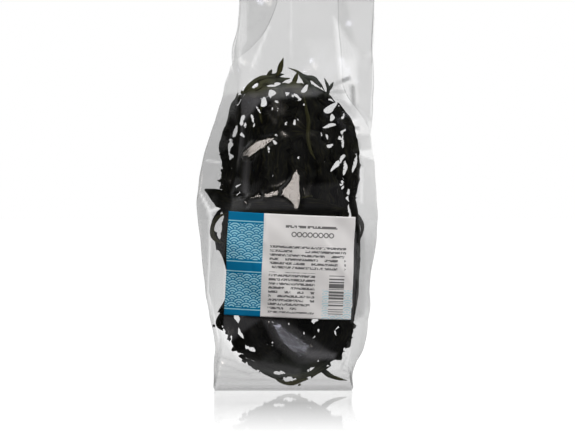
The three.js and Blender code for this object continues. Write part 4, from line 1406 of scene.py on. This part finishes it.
# Where their ends lie in height, how far they draw in at them and at random, and their depths
SIDE_LOW, SIDE_HIGH, SIDE_STEPS = (28, 42), (158, 172), 6
SIDE_END_IN, SIDE_REACH, SIDE_DRAWN_IN = 9, 62, 4
SIDE_FRONT, SIDE_DEPTH, SIDE_SWAY = -13, 27, 2.2
SIDE_TURN = 0.35


def make_side_blades():
    """Blades up both sides of the hank that face sideways, as one piece."""
    rng = np.random.default_rng(SIDE_SEED)
    sides = bmesh.new()
    for k in range(2 * SIDE_BLADES):
        side, layer = (-1, 1)[k % 2], (k // 2 + 0.5) / SIDE_BLADES
        heights = np.linspace(rng.uniform(*SIDE_LOW), rng.uniform(*SIDE_HIGH), SIDE_STEPS)
        inward = SIDE_END_IN * ((heights - BUNCH_HEIGHT) / SIDE_REACH) ** 2 + rng.uniform(0, SIDE_DRAWN_IN)
        y = SIDE_FRONT + SIDE_DEPTH * layer + rng.normal(0, SIDE_SWAY, SIDE_STEPS)
        points = np.stack([SIDE_MIDDLE + side * (SIDE_HALF - inward), y, heights], 1)
        turned = math.pi / 2 + rng.normal(0, SIDE_TURN)
        add_shape(sides, blade_shape(point_course(points), SIDE_FIRST + k, SIDE_WIDTH, turned=turned))
    finish_blades(sides, "wakame_sides")
    return 2 * SIDE_BLADES


print("side blades:", make_side_blades())

# %% [markdown]
# ## The fringe
#
# A dried hank has no clean outline: small torn lobes stand out all round it. There are too many to place
# one by one, so short blades are strewn at random, with a fixed seed, along four lines that follow the
# edge of the hank in the photograph.

# %% The fringe
# The edges of the hank, in the photograph's pixels
OUTLINES = [
    [(243, 94), (235, 104), (231.5, 124), (224, 140), (221, 148), (226, 161), (224, 172), (221.5, 182),
     (224, 192)],
    [(323, 93), (332, 101), (341, 114), (347.5, 124), (350.5, 135), (352.5, 152), (356.5, 162), (356, 174),
     (353, 183), (352, 203)],
    [(225, 326), (230, 337), (236, 348), (243, 359), (256, 366), (264, 371), (273, 373), (282, 381)],
    [(300, 377), (316, 371), (327, 364), (333, 354), (339, 346), (344, 335), (350, 327), (352, 318)],
]
FRINGE_STEP, FRINGE_SEED, FRINGE_FIRST = 3.4, 5, 300
# How far the lobes stray, in pixels, how much they turn and bend, and their sizes and depths
FRINGE_STRAY, FRINGE_TURN, FRINGE_BEND = 0.8, 0.5, 0.5
FRINGE_HALF, FRINGE_DEPTHS, FRINGE_WIDTHS = (2.4, 4.6), (-6, 3), (1.8, 3.6)
FRINGE_CURL, FRINGE_TORN = 0.7, 0.8


def lobe_points(here, heading, bend, half, y):
    """Three places of a short, bent blade, from its middle in pixels."""
    ways = [(k, heading + bend * k) for k in (-1, 0, 1)]
    return [place_seen(*(here + half * k * np.array([math.cos(way), math.sin(way)])), y) for k, way in ways]


def make_fringe():
    """Small lobes along the outlines, as one piece."""
    rng = np.random.default_rng(FRINGE_SEED)
    fringe = bmesh.new()
    count = 0
    for line in OUTLINES:
        columns, rows = np.array(line, float).T
        runs = np.concatenate([[0], np.cumsum(np.hypot(np.diff(columns), np.diff(rows)))])
        for run in np.arange(0, runs[-1], FRINGE_STEP):
            here, ahead = (np.array([np.interp(place, runs, columns), np.interp(place, runs, rows)])
                           for place in (run, run + 1))
            here = here + rng.normal(0, FRINGE_STRAY, 2)
            heading = math.atan2(*(ahead - here)[::-1]) + rng.normal(0, FRINGE_TURN)
            bend, half = rng.normal(0, FRINGE_BEND), rng.uniform(*FRINGE_HALF)
            y = rng.uniform(*FRINGE_DEPTHS)
            course = point_course(lobe_points(here, heading, bend, half, y))
            lobe = blade_shape(course, FRINGE_FIRST + count, rng.uniform(*FRINGE_WIDTHS), FRINGE_CURL,
                               FRINGE_TORN)
            add_shape(fringe, lobe)
            count += 1
    finish_blades(fringe, "wakame_fringe")
    return count


print("lobes of the fringe:", make_fringe())

# %% [markdown]
# ## The label
#
# The label is a rectangle of paper on the front of the film, a little askew. It is stiffer than the
# film and could be a flat card, but it is stuck to the bag all over, so it takes the bag's form: each
# of its places is a place on the film, lifted half a millimetre off it.

# %% The label's sheet
LABEL_WIDTH, LABEL_HEIGHT = 81.0, 66.0
LABEL_MIDDLE = (1.5, 80.0)
LABEL_TILT = math.radians(-2.4)
LABEL_LIFT = 0.5
LABEL_THICK = 0.15


def label_place(across, up):
    """A place on the label, from its left lower corner, both coordinates from 0 to 1."""
    s, t = LABEL_WIDTH * (across - 0.5), LABEL_HEIGHT * (up - 0.5)
    x = LABEL_MIDDLE[0] + s * math.cos(LABEL_TILT) - t * math.sin(LABEL_TILT)
    z = LABEL_MIDDLE[1] + s * math.sin(LABEL_TILT) + t * math.cos(LABEL_TILT)
    return film_place(round_of(x, z), z, LABEL_LIFT)


print("the label's middle:", np.round(label_place(np.array([0.5]), np.array([0.5])), 1).tolist())

# %% [markdown]
# ## The print on the label
#
# The print is ink on paper: a blue band with two panels of waves, a row of rings, lines of dashes for
# small print, and a block of bars. A picture of a label could be laid on it, but a generic design is
# easily drawn by the material itself. The sheet's own coordinates give a place in millimetres, and
# each mark is a mask: 1 inside the mark and 0 outside. The masks then mix the inks over the paper.

# %% The inks and the fields
PAPER = (0.8, 0.78, 0.765, 1)
BLUE, CYAN, INK = (0.0, 0.16, 0.33, 1), (0.3, 0.62, 0.72, 1), (0.05, 0.05, 0.05, 1)
BAND_WIDTH = 23.0
WAVE_PANELS = [(5.5, 27.0), (36.0, 59.0)]
WAVE_WIDTH, WAVE_RINGS, RING_SHARE = 9.2, 3, 0.58
# Plain bars of the band: how far under and over each panel they start, and their height
BORDER_UNDER, BORDER_OVER, BORDER_HEIGHT = 1.7, 1.0, 0.7
LINE_PITCH, LINE_HEIGHT = 2.62, 0.56
# Fields of marks, in mm: left, right, low, high
LONG_LINES, SHORT_LINES = (27.5, 76.0, 31.4, 47.2), (27.5, 57.0, 2.9, 29.2)
HEADING, CODE, CORNER = (37, 70, 57.6, 59.2), (66.0, 75.5, 3.0, 28.5), (62, 81, 0, 19)
# Flecks: how many there are a millimetre across and up, and the share that is left out
WORDS, STROKES = (0.24, 1.0, 0.16), (1.5, 1.9, 0.27)
THICK_STROKES, BARS = (1.2, 1.2, 0.3), (0.01, 2.1, 0.45)
# The row of rings: its left, right and height, how far apart they are, and their radii as shares of that
RING_ROW, RING_PITCH, RING_RADII = (40.8, 68.0, 53.5), 3.4, (0.3, 0.5)
CORNER_SHARE, INK_SHARE = 0.5, 0.85
PAPER_ROUGH, PAPER_SPECULAR = 0.55, 0.12
print("the blue band is", BAND_WIDTH, "mm of the label's", LABEL_WIDTH)

# %% The masks and the paper


def between(tree, value, low, high):
    """A mask that is 1 between two numbers."""
    return math_node(tree, "MULTIPLY", math_node(tree, "GREATER_THAN", value, low),
                     math_node(tree, "LESS_THAN", value, high))


def chained(tree, operation, *values):
    """One operation taken over several values in turn."""
    result = values[0]
    for value in values[1:]:
        result = math_node(tree, operation, result, value)
    return result


def both(tree, *masks):
    """The mask where all of these masks are 1."""
    return chained(tree, "MULTIPLY", *masks)


def either_of(tree, *masks):
    """The mask where any of these masks is 1."""
    return chained(tree, "MAXIMUM", *masks)


def in_field(tree, s, t, left, right, low, high):
    """The mask of a rectangle."""
    return both(tree, between(tree, s, left, right), between(tree, t, low, high))


def far_off(tree, across, up):
    """The distance of a place from a middle, from the two distances across and up."""
    squares = (math_node(tree, "MULTIPLY", value, value) for value in (across, up))
    return math_node(tree, "SQRT", math_node(tree, "ADD", *squares))


def scallops(tree, s, t):
    """Rows of overlapping half rings, as a mask."""
    row_height = WAVE_WIDTH / 4

    def distance(rows_down):
        rows = math_node(tree, "FLOOR", math_node(tree, "DIVIDE", t, row_height))
        row = math_node(tree, "SUBTRACT", rows, float(rows_down))
        shift = math_node(tree, "MULTIPLY", row, 0.5)
        shifted = math_node(tree, "ADD", math_node(tree, "DIVIDE", s, WAVE_WIDTH), shift)
        cell = math_node(tree, "FRACT", shifted)
        across = math_node(tree, "MULTIPLY", math_node(tree, "SUBTRACT", cell, 0.5), WAVE_WIDTH)
        up = math_node(tree, "SUBTRACT", t, math_node(tree, "MULTIPLY", row, row_height))
        return far_off(tree, across, up)

    front, behind = distance(1), distance(0)
    in_front = math_node(tree, "LESS_THAN", front, WAVE_WIDTH / 2)
    not_in_front = math_node(tree, "SUBTRACT", 1.0, in_front)
    picked = math_node(tree, "ADD", both(tree, front, in_front), both(tree, behind, not_in_front))
    ring = math_node(tree, "FRACT", math_node(tree, "MULTIPLY", picked, 2 * WAVE_RINGS / WAVE_WIDTH))
    return math_node(tree, "LESS_THAN", ring, RING_SHARE)


def flecks(tree, s, t, scale_s, scale_t, threshold):
    """A mask of drawn flecks, stretched by their two scales per millimetre."""
    stretch = tree.nodes.new("ShaderNodeCombineXYZ")
    noise = tree.nodes.new("ShaderNodeTexWhiteNoise")
    noise.noise_dimensions = "2D"
    for socket, value, scale in ((stretch.inputs[0], s, scale_s), (stretch.inputs[1], t, scale_t)):
        tree.links.new(math_node(tree, "FLOOR", math_node(tree, "MULTIPLY", value, scale)), socket)
    tree.links.new(stretch.outputs[0], noise.inputs["Vector"])
    return math_node(tree, "GREATER_THAN", noise.outputs["Value"], threshold)


def small_print(tree, s, t, *field):
    """Lines of dashes and strokes in the place of small print."""
    line = math_node(tree, "DIVIDE", t, LINE_PITCH)
    on_line = math_node(tree, "LESS_THAN", math_node(tree, "FRACT", line), LINE_HEIGHT)
    words = flecks(tree, s, math_node(tree, "FLOOR", line), *WORDS)
    return both(tree, on_line, words, flecks(tree, s, t, *STROKES), in_field(tree, s, t, *field))


def ring_row(tree, s, t):
    """A row of rings in the place of a heading."""
    left, right, middle = RING_ROW
    cell = math_node(tree, "FRACT", math_node(tree, "DIVIDE", s, RING_PITCH))
    off_line = math_node(tree, "DIVIDE", math_node(tree, "SUBTRACT", t, middle), RING_PITCH)
    ring = far_off(tree, math_node(tree, "SUBTRACT", cell, 0.5), off_line)
    return both(tree, between(tree, ring, *RING_RADII), between(tree, s, left, right))


def paper_material():
    """Satin paper, off-white with a printed blue band, wave panels, small print and a block of bars."""
    material, tree, output = new_material("printed_paper")
    skin = tree.nodes.new("ShaderNodeBsdfPrincipled")
    skin.inputs["Roughness"].default_value = PAPER_ROUGH
    skin.inputs["Specular IOR Level"].default_value = PAPER_SPECULAR
    along_label, up_label, _ = coordinates(tree, "UV")
    s = math_node(tree, "MULTIPLY", along_label, LABEL_WIDTH)
    t = math_node(tree, "MULTIPLY", up_label, LABEL_HEIGHT)
    band = math_node(tree, "LESS_THAN", s, BAND_WIDTH)
    panels = either_of(tree, *(between(tree, t, low, high) for low, high in WAVE_PANELS))
    starts = [start for low, high in WAVE_PANELS for start in (low - BORDER_UNDER, high + BORDER_OVER)]
    borders = either_of(tree, *(between(tree, t, start, start + BORDER_HEIGHT) for start in starts))
    waves = both(tree, band, either_of(tree, both(tree, panels, scallops(tree, s, t)), borders))
    in_code = in_field(tree, s, t, *CODE)
    ink = either_of(
        tree, ring_row(tree, s, t), both(tree, in_code, flecks(tree, s, t, *BARS)),
        small_print(tree, s, t, *LONG_LINES), small_print(tree, s, t, *SHORT_LINES),
        both(tree, in_field(tree, s, t, *HEADING), flecks(tree, s, t, *THICK_STROKES)))
    corner = both(tree, in_field(tree, s, t, *CORNER), math_node(tree, "SUBTRACT", 1.0, in_code),
                  scallops(tree, s, t))
    colour = PAPER
    for mask, share, printed in ((corner, CORNER_SHARE, CYAN), (ink, INK_SHARE, INK), (band, 1.0, BLUE),
                                 (waves, 1.0, CYAN)):
        colour = mix_colours(tree, math_node(tree, "MULTIPLY", mask, share), colour, printed)
    link_nodes(tree, (colour, skin.inputs["Base Color"]), (skin.outputs[0], output.inputs["Surface"]))
    return material


paper = paper_material()
print("nodes of the print:", len(paper.node_tree.nodes))

# %% The label
LABEL_CELLS = (110, 90)


def make_label():
    """The label's sheet of paper."""
    label = keep(grid_mesh(*LABEL_CELLS, label_place, "print"), "label_sheet", paper)
    thicken(label, LABEL_THICK, 1)
    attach(label, "root")
    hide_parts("label")
    return label


label = make_label()
print("label:", len(label.data.polygons), "faces")
